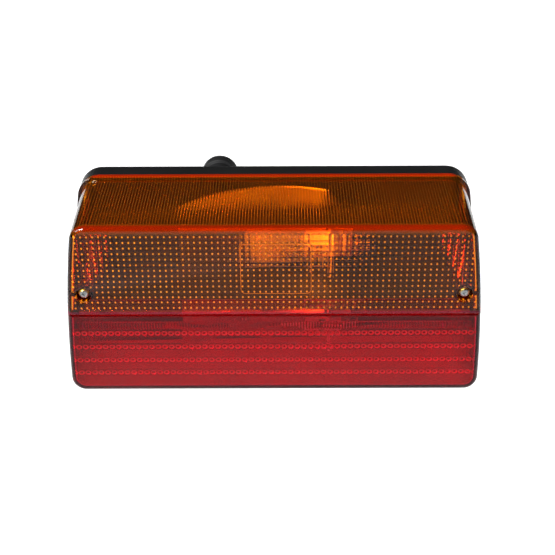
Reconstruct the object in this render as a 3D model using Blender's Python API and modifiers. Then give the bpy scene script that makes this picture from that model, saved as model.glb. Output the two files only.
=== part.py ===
"""Trailer tail light: a black housing tray, a two-colour lens (amber above, red below), bulbs in
sprung bayonet sockets, reflectors, contacts, a cable grommet and the fasteners that hold it all.

Frame: metres, +Z up, the lens faces -Y. The origin is the middle of the rear mounting face.
"""
import math

import bmesh
import bpy
from mathutils import Matrix, Vector

MM = 0.001

# Lens, seen from the front: flat top and bottom, gently bowed sides, round corners
LENS_HALF_WIDTH = 116.0 * MM  # at the widest point of the front face
SIDE_RADIUS = 655.0 * MM  # bow of the two sides
SIDE_TANGENT_RISE = 4.8 * MM  # height above the bottom edge where the sides stand upright
TOP_CORNER = 9.5 * MM
BOTTOM_CORNER = 8.0 * MM
AMBER_HEIGHT = 54.2 * MM
RED_HEIGHT = 50.7 * MM
# Lens, seen from the side
LENS_DEPTH = 58.7 * MM  # front face to the lip
LENS_WALL = 2.5 * MM
LENS_DRAFT = math.radians(2.0)
FRONT_FILLET = 3.0 * MM
JOINT_FILLET = 1.0 * MM  # small round on each lens where amber meets red
JOINT_STEP = 1.0 * MM  # the red face sits this far behind the amber one
JOINT_GAP = 0.3 * MM  # the glue line
JOINT_SHELF = 14.0 * MM  # how far the walls between the colours reach back
LIP_WIDTH = 2.0 * MM
LIP_THICKNESS = 2.7 * MM
LIP_ROOT = 0.4 * MM  # the lip's front face slopes this much towards the wall
PRY_NOTCH_WIDTH = 10.2 * MM
PRY_NOTCH_DEPTH = 1.6 * MM

# Housing tray
HOUSING_DEPTH = 12.2 * MM
HOUSING_WALL = 2.5 * MM  # back plate
BACK_FILLET = 1.5 * MM
DIVIDER_THICKNESS = 2.0 * MM
DIVIDER_SIDE_GAP = 3.0 * MM  # divider to the cut edge of the shelf walls
SEAL_WIDTH = 1.8 * MM
SEAL_DEPTH = 1.6 * MM
SEAL_INSET = 1.4 * MM  # outer edge of the rim to the seal

# Fit between pieces that touch
FIT = 0.2 * MM
LENS_TO_RIM = 0.4 * MM

# Lens screws
SCREW_FROM_SIDE = 9.0 * MM  # screw axis to the front face's edge
SCREW_ABOVE_JOINT = 12.8 * MM
SCREW_SHANK = 1.5 * MM  # radius
SCREW_HEAD = 2.8 * MM  # radius
SCREW_HEAD_HEIGHT = 1.9 * MM
SCREW_HOLE = 1.8 * MM
SCREW_SEAL_THICKNESS = 0.8 * MM
RECESS_SHARE = 0.6  # depth of a cross recess against the head's height
RECESS_WIDTH = 1.15  # against the head's radius
RECESS_SLIM = 0.32  # an arm's thickness against its width
COUNTERBORE_RADIUS = 4.3 * MM
COUNTERBORE_DEPTH = 4.5 * MM
COLUMN_RADIUS = 5.6 * MM
BOSS_RADIUS = 4.8 * MM
BOSS_HEIGHT = 11.5 * MM  # above the back plate
INSERT_RADIUS = 2.6 * MM
INSERT_LENGTH = 8.0 * MM
CUT_BEYOND = 1.0 * MM  # how far a cutter runs past the face it opens

# Cable grommet
GROMMET_X = -33.0 * MM
GROMMET_BELOW_RIM = 10.5 * MM  # axis to the inner face of the rim at the top
GROMMET_NECK = 8.0 * MM
GROMMET_FLANGE = 10.0 * MM
GROMMET_BODY = 9.3 * MM
GROMMET_COLLAR = 10.8 * MM
GROMMET_LENGTH = 27.0 * MM  # behind the mounting face
GROMMET_BORE = 3.6 * MM
GROMMET_COLLAR_LENGTH = 8.0 * MM
GROMMET_COLLAR_ROUND = 2.0 * MM
GROMMET_FLANGE_THICKNESS = 2.0 * MM
GROMMET_EDGE = 0.6 * MM

# Mounting bolts (M6) with washers and nuts
BOLT_SPACING = 160.0 * MM
BOLT_BELOW_JOINT = 24.5 * MM
BOLT_RADIUS = 3.0 * MM
BOLT_LENGTH = 22.0 * MM  # behind the mounting face
BOLT_HEAD_FLATS = 10.0 * MM
BOLT_HEAD_HEIGHT = 4.0 * MM
BOLT_TIP = 1.0 * MM  # length and narrowing of the bolt's end
PANEL_GAP = 4.0 * MM  # room left for the panel that the lamp is bolted to
WASHER_RADIUS = 6.2 * MM
WASHER_THICKNESS = 1.6 * MM
NUT_HEIGHT = 5.0 * MM

# Reflectors, brackets and sockets, the same in both chambers
REFLECTOR_LEFT = -54.0 * MM
REFLECTOR_APEX_X = 2.8 * MM
REFLECTOR_RADIUS = 76.5 * MM
REFLECTOR_SHEET = 0.8 * MM
REFLECTOR_BACK_ROOM = 12.5 * MM  # back plate to the rear of the reflector at its apex
REFLECTOR_EDGE_GAP = 2.6 * MM  # to the chamber's floor and roof
REFLECTOR_STEPS = 18
BRACKET_X = 31.5 * MM
BRACKET_SHEET = 1.2 * MM
BRACKET_FOOT = 14.0 * MM
BRACKET_SCREW_SHARE = 0.55  # how far along the foot its screw stands
BRACKET_HALF_HEIGHT = 15.0 * MM
BRACKET_NOSE = 13.0 * MM  # bracket edge in front of the bulb's axis
PILLAR_RADIUS = 3.6 * MM
SMALL_SCREW_SHANK = 1.25 * MM
SMALL_SCREW_HEAD = 2.6 * MM
SMALL_SCREW_HEAD_HEIGHT = 1.6 * MM
SMALL_SCREW_LENGTH = 8.0 * MM

# Bayonet sockets and bulbs; "along" is measured from the socket's mouth towards +X
BULB_BACK_ROOM = 33.0 * MM  # back plate to the bulb's axis
SOCKET_MOUTH_X = 18.0 * MM
SOCKET_INNER = 7.8 * MM
SOCKET_WALL = 0.7 * MM
SOCKET_LENGTH = 21.0 * MM
SOCKET_FLANGE_WIDTH = 2.0 * MM
SOCKET_FLANGE_THICKNESS = 1.0 * MM
SOCKET_END_THICKNESS = 2.5 * MM
CAP_PLAY = 0.4 * MM  # cap to the socket's inside
CAP_LENGTH = 13.0 * MM
CAP_WALL = 0.6 * MM
CAP_MOUTH = 1.0 * MM  # cap's open end, in front of the socket's mouth
CAP_CHAMFER = 1.5 * MM
CONTACT_SPACING = 6.4 * MM  # between the two contacts of the stop and tail bulb
CONTACT_ROOT = 2.0 * MM  # radius
CONTACT_END = 1.3 * MM  # radius
PIN_RADIUS = 1.0 * MM
PIN_PROUD = 0.4 * MM  # pin's outer end, beyond the socket's outside
PIN_ALONG = 6.0 * MM
PIN_STAGGER = 3.0 * MM  # the two-filament bulb has one pin deeper
PIN_PLAY = 0.25 * MM
PRESS_TRAVEL = 2.0 * MM
TURN_ANGLE = math.radians(20.0)
CONTACT_TIP = 0.9 * MM
DISC_PLAY = 0.5 * MM  # disc to the socket's inside
DISC_THICKNESS = 1.6 * MM
SPRING_RADIUS = 5.2 * MM
SPRING_WIRE = 0.4 * MM
SPRING_TURNS = 3
SPRING_POINTS = 12  # along each turn
GLASS_RADIUS = 12.5 * MM
GLASS_WALL = 0.6 * MM
GLASS_NECK = 6.4 * MM
GLASS_LENGTH = 35.0 * MM  # out of the cap
GLASS_IN_CAP = 4.0 * MM
NECK_FREE = 4.0 * MM  # straight neck in front of the cap
SHOULDER_LENGTH = 4.0 * MM
SHOULDER_SPREAD = 1.6 * MM
DOME_ANGLES = [math.radians(6.0 + 14.5 * k) for k in range(9)]
STEM_RADIUS = 4.2 * MM
STEM_TIP = 2.4 * MM
STEM_LENGTH = 8.0 * MM  # in front of the socket's mouth
FILAMENT_HALF_LENGTH = 3.2 * MM
FILAMENT_SWING = 0.5 * MM
FILAMENT_WAVES = 6
FILAMENT_WIRE = 0.22 * MM
FILAMENT_SPACING = 2.6 * MM
SUPPORT_SPREAD = 1.0 * MM
TAB_WIDTH = 6.3 * MM
TAB_THICKNESS = 0.8 * MM
TAB_LENGTH = 8.0 * MM

# Terminal strip and leads
POLE_PITCH = 9.0 * MM
POLES = 4
STRIP_RIGHT = -15.5 * MM
STRIP_HEIGHT = 10.0 * MM
STRIP_THICKNESS = 8.0 * MM
STRIP_ABOVE_JOINT = 13.0 * MM
WELL_DEPTH = 3.2 * MM
THREAD_DEPTH = 3.4 * MM
CLAMP_SCREW_LENGTH = 3.0 * MM
LEAD_RADIUS = 1.0 * MM
LEAD_PITCH = 2.6 * LEAD_RADIUS  # between neighbouring leads
LEAD_NECK = 1.8 * MM  # straight part below the strip
LEAD_DROP = 4.5 * MM
LEAD_RISE = 16.0 * MM  # where a lead turns forward to its socket

# Worked out from the sizes above
LENS_TOP = (AMBER_HEIGHT + RED_HEIGHT) / 2
LENS_BOTTOM = -LENS_TOP
JOINT_Z = LENS_BOTTOM + RED_HEIGHT
SIDE_TANGENT_Z = LENS_BOTTOM + SIDE_TANGENT_RISE
SIDE_CENTRE_X = LENS_HALF_WIDTH - SIDE_RADIUS
RIM_Y = -HOUSING_DEPTH
LIP_BACK_Y = RIM_Y - LENS_TO_RIM
LIP_FRONT_Y = LIP_BACK_Y - LIP_THICKNESS
FRONT_Y = LIP_FRONT_Y - LENS_DEPTH
PLATE_Y = -HOUSING_WALL
DRAFT_GROWTH = LENS_DEPTH * math.tan(LENS_DRAFT)
RIM_OUTER = DRAFT_GROWTH + LIP_WIDTH
RIM_INNER = DRAFT_GROWTH - LENS_WALL
SHELF_Y = FRONT_Y + JOINT_SHELF
REFLECTOR_APEX_Y = PLATE_Y - REFLECTOR_BACK_ROOM
SOCKET_OUTER = SOCKET_INNER + SOCKET_WALL
CAP_RADIUS = SOCKET_INNER - CAP_PLAY
PIN_REACH = SOCKET_OUTER + PIN_PROUD
DISC_RADIUS = SOCKET_INNER - DISC_PLAY
BULB_Y = PLATE_Y - BULB_BACK_ROOM
AMBER_FLOOR = JOINT_Z + DIVIDER_THICKNESS / 2
AMBER_ROOF = LENS_TOP - LENS_WALL
RED_ROOF = JOINT_Z - DIVIDER_THICKNESS / 2
RED_FLOOR = LENS_BOTTOM + LENS_WALL
CHAMBERS = {
    "indicator": (AMBER_FLOOR, AMBER_ROOF),
    "stop_tail": (RED_FLOOR, RED_ROOF),
}
SCREW_Z = JOINT_Z + SCREW_ABOVE_JOINT
GROMMET_Z = LENS_TOP + RIM_INNER - GROMMET_BELOW_RIM
BOLT_Z = JOINT_Z - BOLT_BELOW_JOINT

CORNER_STEPS = 9
SIDE_STEPS = 5
FILLET_STEPS = 4
LEAD_STEPS = 4  # between two points of a lead's route
ROUND = 24  # facets of a small round piece
SMOOTH_ANGLE = math.radians(35.0)


# ---------------------------------------------------------------- scene and materials
def clear_scene():
    for obj in list(bpy.data.objects):
        bpy.data.objects.remove(obj, do_unlink=True)


def collection(name):
    made = bpy.data.collections.new(name)
    bpy.context.scene.collection.children.link(made)
    return made


def material(name, colour, roughness, metallic=0.0, alpha=1.0):
    made = bpy.data.materials.new(name)
    made.use_nodes = True
    shader = made.node_tree.nodes["Principled BSDF"]
    shader.inputs["Base Color"].default_value = (*colour, 1.0)
    shader.inputs["Roughness"].default_value = roughness
    shader.inputs["Metallic"].default_value = metallic
    shader.inputs["Alpha"].default_value = alpha
    return made


clear_scene()
LAMP = collection("trailer_tail_light")
TOOLS = collection("cutters_and_guides")
BLACK_PLASTIC = material("black_plastic", (0.012, 0.012, 0.013), 0.45)
AMBER = material("amber_plastic", (0.80, 0.22, 0.01), 0.08, alpha=0.6)
RED = material("red_plastic", (0.55, 0.01, 0.02), 0.08, alpha=0.6)
RUBBER = material("black_rubber", (0.02, 0.02, 0.02), 0.75)
ZINC = material("zinc_plated_steel", (0.60, 0.62, 0.64), 0.30, 1.0)
BRASS = material("brass", (0.72, 0.52, 0.22), 0.30, 1.0)
MIRROR_METAL = material("bright_metal", (0.82, 0.82, 0.80), 0.18, 1.0)
GLASS = material("bulb_glass", (0.95, 0.95, 0.95), 0.02, alpha=0.3)
TUNGSTEN = material("tungsten", (0.25, 0.25, 0.26), 0.40, 1.0)
BROWN_BOARD = material("brown_phenolic", (0.22, 0.09, 0.04), 0.55)
YELLOW_LEAD = material("yellow_insulation", (0.75, 0.55, 0.05), 0.45)
RED_LEAD = material("red_insulation", (0.55, 0.03, 0.03), 0.45)
BROWN_LEAD = material("brown_insulation", (0.18, 0.07, 0.03), 0.45)
WHITE_LEAD = material("white_insulation", (0.75, 0.75, 0.72), 0.45)


# ---------------------------------------------------------------- objects
def add(name, mesh, look):
    """A visible piece when it has a material, or else a helper that only cuts or joins."""
    obj = bpy.data.objects.new(name, mesh)
    if look is None:
        TOOLS.objects.link(obj)
        obj.hide_render = True
        obj.display_type = "WIRE"
    else:
        LAMP.objects.link(obj)
        mesh.materials.append(look)
    return obj


def from_bmesh(name, bm, look):
    mesh = bpy.data.meshes.new(name)
    bm.to_mesh(mesh)
    bm.free()
    return add(name, mesh, look)


def smooth(obj):
    """Shades round faces smooth and keeps real edges sharp."""
    obj.data.shade_smooth()
    obj.data.set_sharp_from_angle(angle=SMOOTH_ANGLE)
    return obj


def box(name, low, high, look=None):
    low, high = Vector(low), Vector(high)
    bm = bmesh.new()
    size = high - low
    place = Matrix.Translation((low + high) / 2) @ Matrix.Diagonal((*size, 1.0))
    bmesh.ops.create_cube(bm, size=1.0, matrix=place)
    return from_bmesh(name, bm, look)


def along(direction):
    """Rotation that carries local +Z onto a direction."""
    return Vector(direction).to_track_quat("Z", "Y").to_matrix().to_4x4()


def rod(name, start, end, radius, look=None, end_radius=None, facets=ROUND):
    start, end = Vector(start), Vector(end)
    bm = bmesh.new()
    place = Matrix.Translation((start + end) / 2) @ along(end - start)
    bmesh.ops.create_cone(
        bm,
        cap_ends=True,
        segments=facets,
        radius1=radius,
        radius2=radius if end_radius is None else end_radius,
        depth=(end - start).length,
        matrix=place,
    )
    return smooth(from_bmesh(name, bm, look))


def turned(name, profile, origin, direction, look=None, closed=False, steps=ROUND):
    """A profile of (radius, distance) points spun round an axis through origin.

    The points run from the far end to the near one down the outer side, as Screw needs."""
    mesh = bpy.data.meshes.new(name)
    points = [(radius, 0.0, distance) for radius, distance in profile]
    edges = [(i, i + 1) for i in range(len(points) - 1)]
    if closed:
        edges.append((len(points) - 1, 0))
    mesh.from_pydata(points, edges, [])
    obj = add(name, mesh, look)
    obj.matrix_world = Matrix.Translation(Vector(origin)) @ along(direction)
    spin = obj.modifiers.new("spin", "SCREW")
    spin.steps = spin.render_steps = steps
    spin.use_merge_vertices = True
    spin.merge_threshold = 0.00001
    spin.use_smooth_shade = True
    return obj


def boolean(target, tool, operation):
    made = target.modifiers.new(tool.name, "BOOLEAN")
    made.operation = operation
    made.object = tool
    return target


def cut(target, tool):
    return boolean(target, tool, "DIFFERENCE")


def join(target, tool):
    return boolean(target, tool, "UNION")


def loft(name, rings, look=None, closed=False):
    """Skins a list of closed loops that have the same number of points."""
    bm = bmesh.new()
    loops = [[bm.verts.new(p) for p in ring] for ring in rings]
    pairs = list(zip(loops, loops[1:]))
    if closed:
        pairs.append((loops[-1], loops[0]))
    for first, second in pairs:
        for i in range(len(first)):
            j = (i + 1) % len(first)
            bm.faces.new((first[i], first[j], second[j], second[i]))
    if not closed:
        bm.faces.new(loops[0])
        bm.faces.new(loops[-1])
    bmesh.ops.triangulate(bm, faces=bm.faces)
    bmesh.ops.recalc_face_normals(bm, faces=bm.faces)
    return smooth(from_bmesh(name, bm, look))


def smooth_path(points, steps=LEAD_STEPS):
    """Points along a Catmull-Rom curve through the given points."""
    p = [Vector(q) for q in points]
    p = [2 * p[0] - p[1], *p, 2 * p[-1] - p[-2]]
    path = []
    for a, b, c, d in zip(p, p[1:], p[2:], p[3:]):
        for k in range(steps):
            t = k / steps
            path.append(
                0.5
                * (
                    2 * b
                    + (c - a) * t
                    + (2 * a - 5 * b + 4 * c - d) * t * t
                    + (3 * b - a - 3 * c + d) * t**3
                )
            )
    path.append(p[-2])
    return path


def wire(name, path, radius, look):
    """A round wire along a list of points."""
    curve = bpy.data.curves.new(name, "CURVE")
    curve.dimensions = "3D"
    curve.bevel_depth = radius
    curve.bevel_resolution = 1
    curve.use_fill_caps = True
    line = curve.splines.new("POLY")
    line.points.add(len(path) - 1)
    for point, place in zip(line.points, path):
        point.co = (*place, 1.0)
    curve.materials.append(look)
    obj = bpy.data.objects.new(name, curve)
    LAMP.objects.link(obj)
    return obj


def hang(axis_name, place, pieces):
    """Parents the pieces of one moving body to an empty on its joint's axis, where they are."""
    axis = bpy.data.objects.new(axis_name, None)
    axis.empty_display_size = 0.01
    LAMP.objects.link(axis)
    axis.matrix_world = Matrix.Translation(Vector(place))
    for piece in pieces:
        piece.parent = axis
        piece.matrix_parent_inverse = Matrix.Translation(-Vector(place))


# ---------------------------------------------------------------- the front-view outline
def side_x(z, grow=0.0):
    reach = SIDE_RADIUS + grow
    return SIDE_CENTRE_X + math.sqrt(reach**2 - (z - SIDE_TANGENT_Z) ** 2)


def arc(centre, radius, start, end, steps):
    turn = (end - start) / steps
    return [
        (
            centre[0] + radius * math.cos(start + turn * k),
            centre[1] + radius * math.sin(start + turn * k),
        )
        for k in range(steps + 1)
    ]


def corner_centre(z, radius):
    """Centre of a corner arc at height z that touches the side arc from inside."""
    reach = SIDE_RADIUS - radius
    return SIDE_CENTRE_X + math.sqrt(reach**2 - (z - SIDE_TANGENT_Z) ** 2), z


def tangent_angle(centre):
    return math.atan2(centre[1] - SIDE_TANGENT_Z, centre[0] - SIDE_CENTRE_X)


def half_outline(part, grow, lift):
    """The right-hand half from top to bottom, as (x, z). lift moves an edge off the joint line."""
    top = corner_centre(LENS_TOP - TOP_CORNER, TOP_CORNER)
    bottom = corner_centre(LENS_BOTTOM + BOTTOM_CORNER, BOTTOM_CORNER)
    side_centre = (SIDE_CENTRE_X, SIDE_TANGENT_Z)
    reach = SIDE_RADIUS + grow
    upper, lower = tangent_angle(top), tangent_angle(bottom)
    if part == "amber":
        lower = math.asin((JOINT_Z + lift - SIDE_TANGENT_Z) / reach)
    if part == "red":
        upper = math.asin((JOINT_Z - lift - SIDE_TANGENT_Z) / reach)
    points = []
    if part != "red":
        points += arc(top, TOP_CORNER + grow, math.pi / 2, upper, CORNER_STEPS)[:-1]
    points += arc(side_centre, reach, upper, lower, SIDE_STEPS)
    if part != "amber":
        radius = BOTTOM_CORNER + grow
        points += arc(bottom, radius, lower, -math.pi / 2, CORNER_STEPS)[1:]
    return points


def ring(part, y, grow, lift=0.0):
    right = half_outline(part, grow, lift)
    left = [(-x, z) for x, z in reversed(right)]
    return [(x, y, z) for x, z in right + left]


# ---------------------------------------------------------------- lenses
def draft_at(y):
    return (y - FRONT_Y) * math.tan(LENS_DRAFT)


def lens_shell(name, part, front_y, look):
    """A cup: rounded front face, drafted sides, an outward lip, and a wall along the joint."""
    gap = JOINT_GAP / 2
    rings = []
    for k in range(FILLET_STEPS + 1):
        a = math.pi / 2 * k / FILLET_STEPS
        y = front_y + FRONT_FILLET * (1 - math.cos(a))
        inset = FRONT_FILLET * (1 - math.sin(a))
        lift = gap + JOINT_FILLET * (1 - math.sin(a))
        rings.append(ring(part, y, draft_at(y) - inset, lift))
    rings.append(ring(part, LIP_FRONT_Y - LIP_ROOT, DRAFT_GROWTH, gap))
    rings.append(ring(part, LIP_FRONT_Y, RIM_OUTER, gap))
    rings.append(ring(part, LIP_BACK_Y, RIM_OUTER, gap))
    rings.append(ring(part, LIP_BACK_Y, RIM_INNER, gap + LENS_WALL))
    inner_y = front_y + LENS_WALL
    rings.append(ring(part, inner_y, draft_at(inner_y) - LENS_WALL, gap + LENS_WALL))
    shell = loft(name, rings, look)
    # Behind the shelf the joint wall is open, to clear the housing's divider.
    reach = shelf_half_width()
    side = 1 if part == "amber" else -1
    z_pair = sorted(
        (JOINT_Z - side * LENS_WALL, JOINT_Z + side * (gap + LENS_WALL + FIT))
    )
    opening = box(
        f"{name}_shelf_opening",
        (-reach, SHELF_Y, z_pair[0]),
        (reach, LIP_BACK_Y + LENS_WALL, z_pair[1]),
    )
    return cut(shell, opening)


def shelf_half_width():
    return side_x(JOINT_Z, draft_at(SHELF_Y) - LENS_WALL) - DIVIDER_SIDE_GAP


def screw_x():
    return side_x(SCREW_Z) - SCREW_FROM_SIDE


def sides():
    return (("left", -1), ("right", 1))


def boss_top_y():
    return PLATE_Y - BOSS_HEIGHT


def add_screw_columns(lens):
    """Tubes that carry the lens screws from the front face back to the housing's bosses."""
    root_y = FRONT_Y + LENS_WALL / 2
    seat_y = FRONT_Y + COUNTERBORE_DEPTH
    for word, side in sides():
        x = side * screw_x()
        end = (x, boss_top_y() - FIT, SCREW_Z)
        join(lens, rod(f"column_{word}", (x, root_y, SCREW_Z), end, COLUMN_RADIUS))
        wall_x = side * (side_x(SCREW_Z) - LENS_WALL / 2)
        rib_x = sorted((x, wall_x))
        half = LENS_WALL / 2
        rib = box(
            f"column_rib_{word}",
            (rib_x[0], root_y, SCREW_Z - half),
            (rib_x[1], LIP_FRONT_Y, SCREW_Z + half),
        )
        join(lens, rib)
        beyond = (x, 0.0, SCREW_Z)
        before = (x, FRONT_Y - LENS_WALL, SCREW_Z)
        cut(lens, rod(f"screw_hole_{word}", before, beyond, SCREW_HOLE))
        seat = (x, seat_y, SCREW_Z)
        cut(lens, rod(f"counterbore_{word}", before, seat, COUNTERBORE_RADIUS))


def cut_pry_notch(lens):
    """A shallow scoop in the middle of the top lip, where a driver lifts the lens off."""
    half, depth = PRY_NOTCH_WIDTH / 2, PRY_NOTCH_DEPTH
    radius = (half**2 + depth**2) / (2 * depth)
    z = LENS_TOP + RIM_OUTER + radius - depth
    start = (0, LIP_FRONT_Y - LENS_WALL, z)
    cut(lens, rod("pry_notch", start, (0, 0, z), radius, facets=64))


def make_lenses():
    amber = lens_shell("amber_lens", "amber", FRONT_Y, AMBER)
    add_screw_columns(amber)
    cut_pry_notch(amber)
    lens_shell("red_lens", "red", FRONT_Y + JOINT_STEP, RED)


# ---------------------------------------------------------------- screws
def cross_recess(name, centre, direction, width, depth):
    """A cutter for one arm of a cross slot, narrower at the bottom of the recess."""
    arm = width / 4
    start = Vector(centre) - Vector(direction) * depth
    end = Vector(centre) + Vector(direction) * depth
    first = rod(name, start, end, arm, end_radius=width / math.sqrt(2), facets=4)
    turn = Matrix.Translation(start) @ along(direction)
    slim = Matrix.Diagonal((RECESS_SLIM, 1.0, 1.0, 1.0)) @ Matrix.Rotation(math.pi / 4, 4, "Z")
    first.data.transform(turn @ slim @ turn.inverted())
    return first


def pan_screw(name, seat, direction, head, head_height, shank, length, look):
    """A cross-recess screw; direction points from the seat out through the head."""
    dome = [(0.0, 1.0), (0.5, 0.97), (0.86, 0.72), (1.0, 0.28), (1.0, 0.0)]
    profile = [(head * r, head_height * h) for r, h in dome]
    profile += [
        (shank, 0.0),
        (shank, shank - length),
        (shank / 3, -length),
        (0.0, -length),
    ]
    screw = turned(name, profile, seat, direction, look)
    top = Vector(seat) + Vector(direction) * head_height
    recess = head_height * RECESS_SHARE
    width = head * RECESS_WIDTH
    for k in range(2):
        bar = cross_recess(f"{name}_slot_{k}", top, direction, width, recess)
        turn = Matrix.Translation(top) @ Matrix.Rotation(
            math.pi / 4 + k * math.pi / 2, 4, Vector(direction)
        )
        bar.data.transform(turn @ Matrix.Translation(-top))
        cut(screw, bar)
    return screw


def washer(name, centre, direction, outer, inner, thickness, look):
    profile = [(outer, thickness), (outer, 0.0), (inner, 0.0), (inner, thickness)]
    return turned(name, profile, centre, direction, look, closed=True)


def make_lens_screws():
    seat_y = FRONT_Y + COUNTERBORE_DEPTH
    ring_y = seat_y - FIT / 2
    head_y = ring_y - SCREW_SEAL_THICKNESS - FIT / 2
    insert_end = boss_top_y() + INSERT_LENGTH
    for word, side in sides():
        x = side * screw_x()
        outer = SCREW_HEAD + FIT
        inner = SCREW_SHANK + FIT
        centre = (x, ring_y, SCREW_Z)
        washer(
            f"screw_seal_{word}",
            centre,
            (0, -1, 0),
            outer,
            inner,
            SCREW_SEAL_THICKNESS,
            RUBBER,
        )
        pan_screw(
            f"lens_screw_{word}",
            (x, head_y, SCREW_Z),
            (0, -1, 0),
            SCREW_HEAD,
            SCREW_HEAD_HEIGHT,
            SCREW_SHANK,
            insert_end - head_y,
            ZINC,
        )


# ---------------------------------------------------------------- housing
def housing_rings():
    """Rings over the tray: back edge, rim, seal groove and the floor inside."""
    groove_out = RIM_OUTER - SEAL_INSET + FIT / 2
    groove_in = groove_out - SEAL_WIDTH - FIT
    groove_y = RIM_Y + SEAL_DEPTH
    rings = []
    for k in range(FILLET_STEPS + 1):
        a = math.pi / 2 * k / FILLET_STEPS
        y = -BACK_FILLET * (1 - math.cos(a))
        rings.append(ring("whole", y, RIM_OUTER - BACK_FILLET * (1 - math.sin(a))))
    for y, grow in (
        (RIM_Y, RIM_OUTER),
        (RIM_Y, groove_out),
        (groove_y, groove_out),
        (groove_y, groove_in),
        (RIM_Y, groove_in),
        (RIM_Y, RIM_INNER),
        (PLATE_Y, RIM_INNER),
    ):
        rings.append(ring("whole", y, grow))
    return rings


def chamber_middle(name):
    low, high = CHAMBERS[name]
    return (low + high) / 2


def reflector_screws(name):
    """Where each reflector is screwed down, as (x, z)."""
    return [(REFLECTOR_APEX_X, chamber_middle(name) - BRACKET_HALF_HEIGHT)]


def bracket_foot_y():
    return REFLECTOR_APEX_Y - reflector_drop(BRACKET_X)


def bracket_screw_x():
    return BRACKET_X + BRACKET_FOOT * BRACKET_SCREW_SHARE


def reflector_drop(x):
    """How far the reflector stands in front of its apex at x."""
    return REFLECTOR_RADIUS - math.sqrt(REFLECTOR_RADIUS**2 - (x - REFLECTOR_APEX_X) ** 2)


def make_housing():
    tray = loft("housing", housing_rings(), BLACK_PLASTIC)
    overlap = HOUSING_WALL / 2
    reach = shelf_half_width() - DIVIDER_SIDE_GAP
    divider = box(
        "divider",
        (-reach, SHELF_Y + FIT, RED_ROOF),
        (reach, PLATE_Y + overlap, AMBER_FLOOR),
    )
    join(tray, divider)
    for word, side in sides():
        x = side * screw_x()
        root = (x, PLATE_Y + overlap, SCREW_Z)
        top = (x, boss_top_y(), SCREW_Z)
        join(tray, rod(f"boss_{word}", root, top, BOSS_RADIUS))
        pocket = (x, boss_top_y() + INSERT_LENGTH + FIT, SCREW_Z)
        above = (x, boss_top_y() - HOUSING_WALL, SCREW_Z)
        cut(tray, rod(f"insert_pocket_{word}", pocket, above, INSERT_RADIUS + FIT))
        bolt_x = side * BOLT_SPACING / 2
        inside = (bolt_x, PLATE_Y - CUT_BEYOND, BOLT_Z)
        behind = (bolt_x, CUT_BEYOND, BOLT_Z)
        cut(tray, rod(f"bolt_hole_{word}", inside, behind, BOLT_RADIUS + FIT))
    for name in CHAMBERS:
        add_pillars(tray, name, overlap)
    behind = (GROMMET_X, CUT_BEYOND, GROMMET_Z)
    inside = (GROMMET_X, PLATE_Y - CUT_BEYOND, GROMMET_Z)
    cut(tray, rod("grommet_hole", behind, inside, GROMMET_NECK + FIT))
    cut(tray, lead_gate())
    return tray


def add_pillars(tray, name, overlap):
    """Posts under the reflector and the bracket, each with a pilot hole for a small screw."""
    posts = [(x, z, REFLECTOR_APEX_Y) for x, z in reflector_screws(name)]
    posts.append((bracket_screw_x(), chamber_middle(name), bracket_foot_y()))
    for k, (x, z, y) in enumerate(posts):
        top = y + FIT
        root = (x, PLATE_Y + overlap, z)
        join(tray, rod(f"pillar_{name}_{k}", root, (x, top, z), PILLAR_RADIUS))
        end = (x, top + SMALL_SCREW_LENGTH, z)
        pilot = rod(
            f"pilot_{name}_{k}",
            end,
            (x, top - CUT_BEYOND, z),
            SMALL_SCREW_SHANK + FIT,
        )
        cut(tray, pilot)


def lead_gate():
    """The opening at the foot of the divider that lets the leads through to the lower chamber."""
    width = 6 * LEAD_RADIUS
    room = 5 * LEAD_RADIUS
    x = STRIP_RIGHT
    return box(
        "lead_gate",
        (x - width, PLATE_Y - room, RED_ROOF - CUT_BEYOND),
        (x + width, PLATE_Y - FIT, AMBER_FLOOR + CUT_BEYOND),
    )


def make_seal():
    outer = RIM_OUTER - SEAL_INSET
    inner = outer - SEAL_WIDTH
    back = RIM_Y + SEAL_DEPTH - FIT / 2
    front = LIP_BACK_Y + FIT / 2
    rings = [
        ring("whole", y, grow)
        for y, grow in ((back, outer), (front, outer), (front, inner), (back, inner))
    ]
    loft("lens_seal", rings, RUBBER, closed=True)


def make_inserts():
    for word, side in sides():
        centre = (side * screw_x(), boss_top_y() + INSERT_LENGTH, SCREW_Z)
        washer(
            f"thread_insert_{word}",
            centre,
            (0, -1, 0),
            INSERT_RADIUS,
            SCREW_SHANK + FIT,
            INSERT_LENGTH,
            BRASS,
        )


def make_grommet():
    """A rubber bush snapped into the back plate, with a collar behind and a bore for the cable."""
    length, bore, edge = GROMMET_LENGTH, GROMMET_BORE, GROMMET_EDGE
    neck_front = PLATE_Y - FIT
    collar_start = length - GROMMET_COLLAR_LENGTH
    slope = GROMMET_COLLAR - GROMMET_BODY
    profile = [
        (bore, length),
        (GROMMET_COLLAR - GROMMET_COLLAR_ROUND, length),
        (GROMMET_COLLAR - edge, length - edge),
        (GROMMET_COLLAR, length - GROMMET_COLLAR_ROUND),
        (GROMMET_COLLAR, collar_start),
        (GROMMET_BODY + slope / 3, collar_start - slope),
        (GROMMET_BODY, collar_start - slope - edge),
        (GROMMET_BODY, FIT + edge),
        (GROMMET_BODY - edge, FIT),
        (GROMMET_NECK, FIT),
        (GROMMET_NECK, neck_front),
        (GROMMET_FLANGE, neck_front),
        (GROMMET_FLANGE - edge, neck_front - GROMMET_FLANGE_THICKNESS),
        (bore, neck_front - GROMMET_FLANGE_THICKNESS - edge / 3),
    ]
    place = (GROMMET_X, 0, GROMMET_Z)
    turned("cable_grommet", profile, place, (0, 1, 0), RUBBER, closed=True, steps=32)


def hexagon(name, base, direction, flats, height, look):
    top = Vector(base) + Vector(direction) * height
    return rod(name, base, top, flats / math.sqrt(3), look, facets=6)


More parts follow.
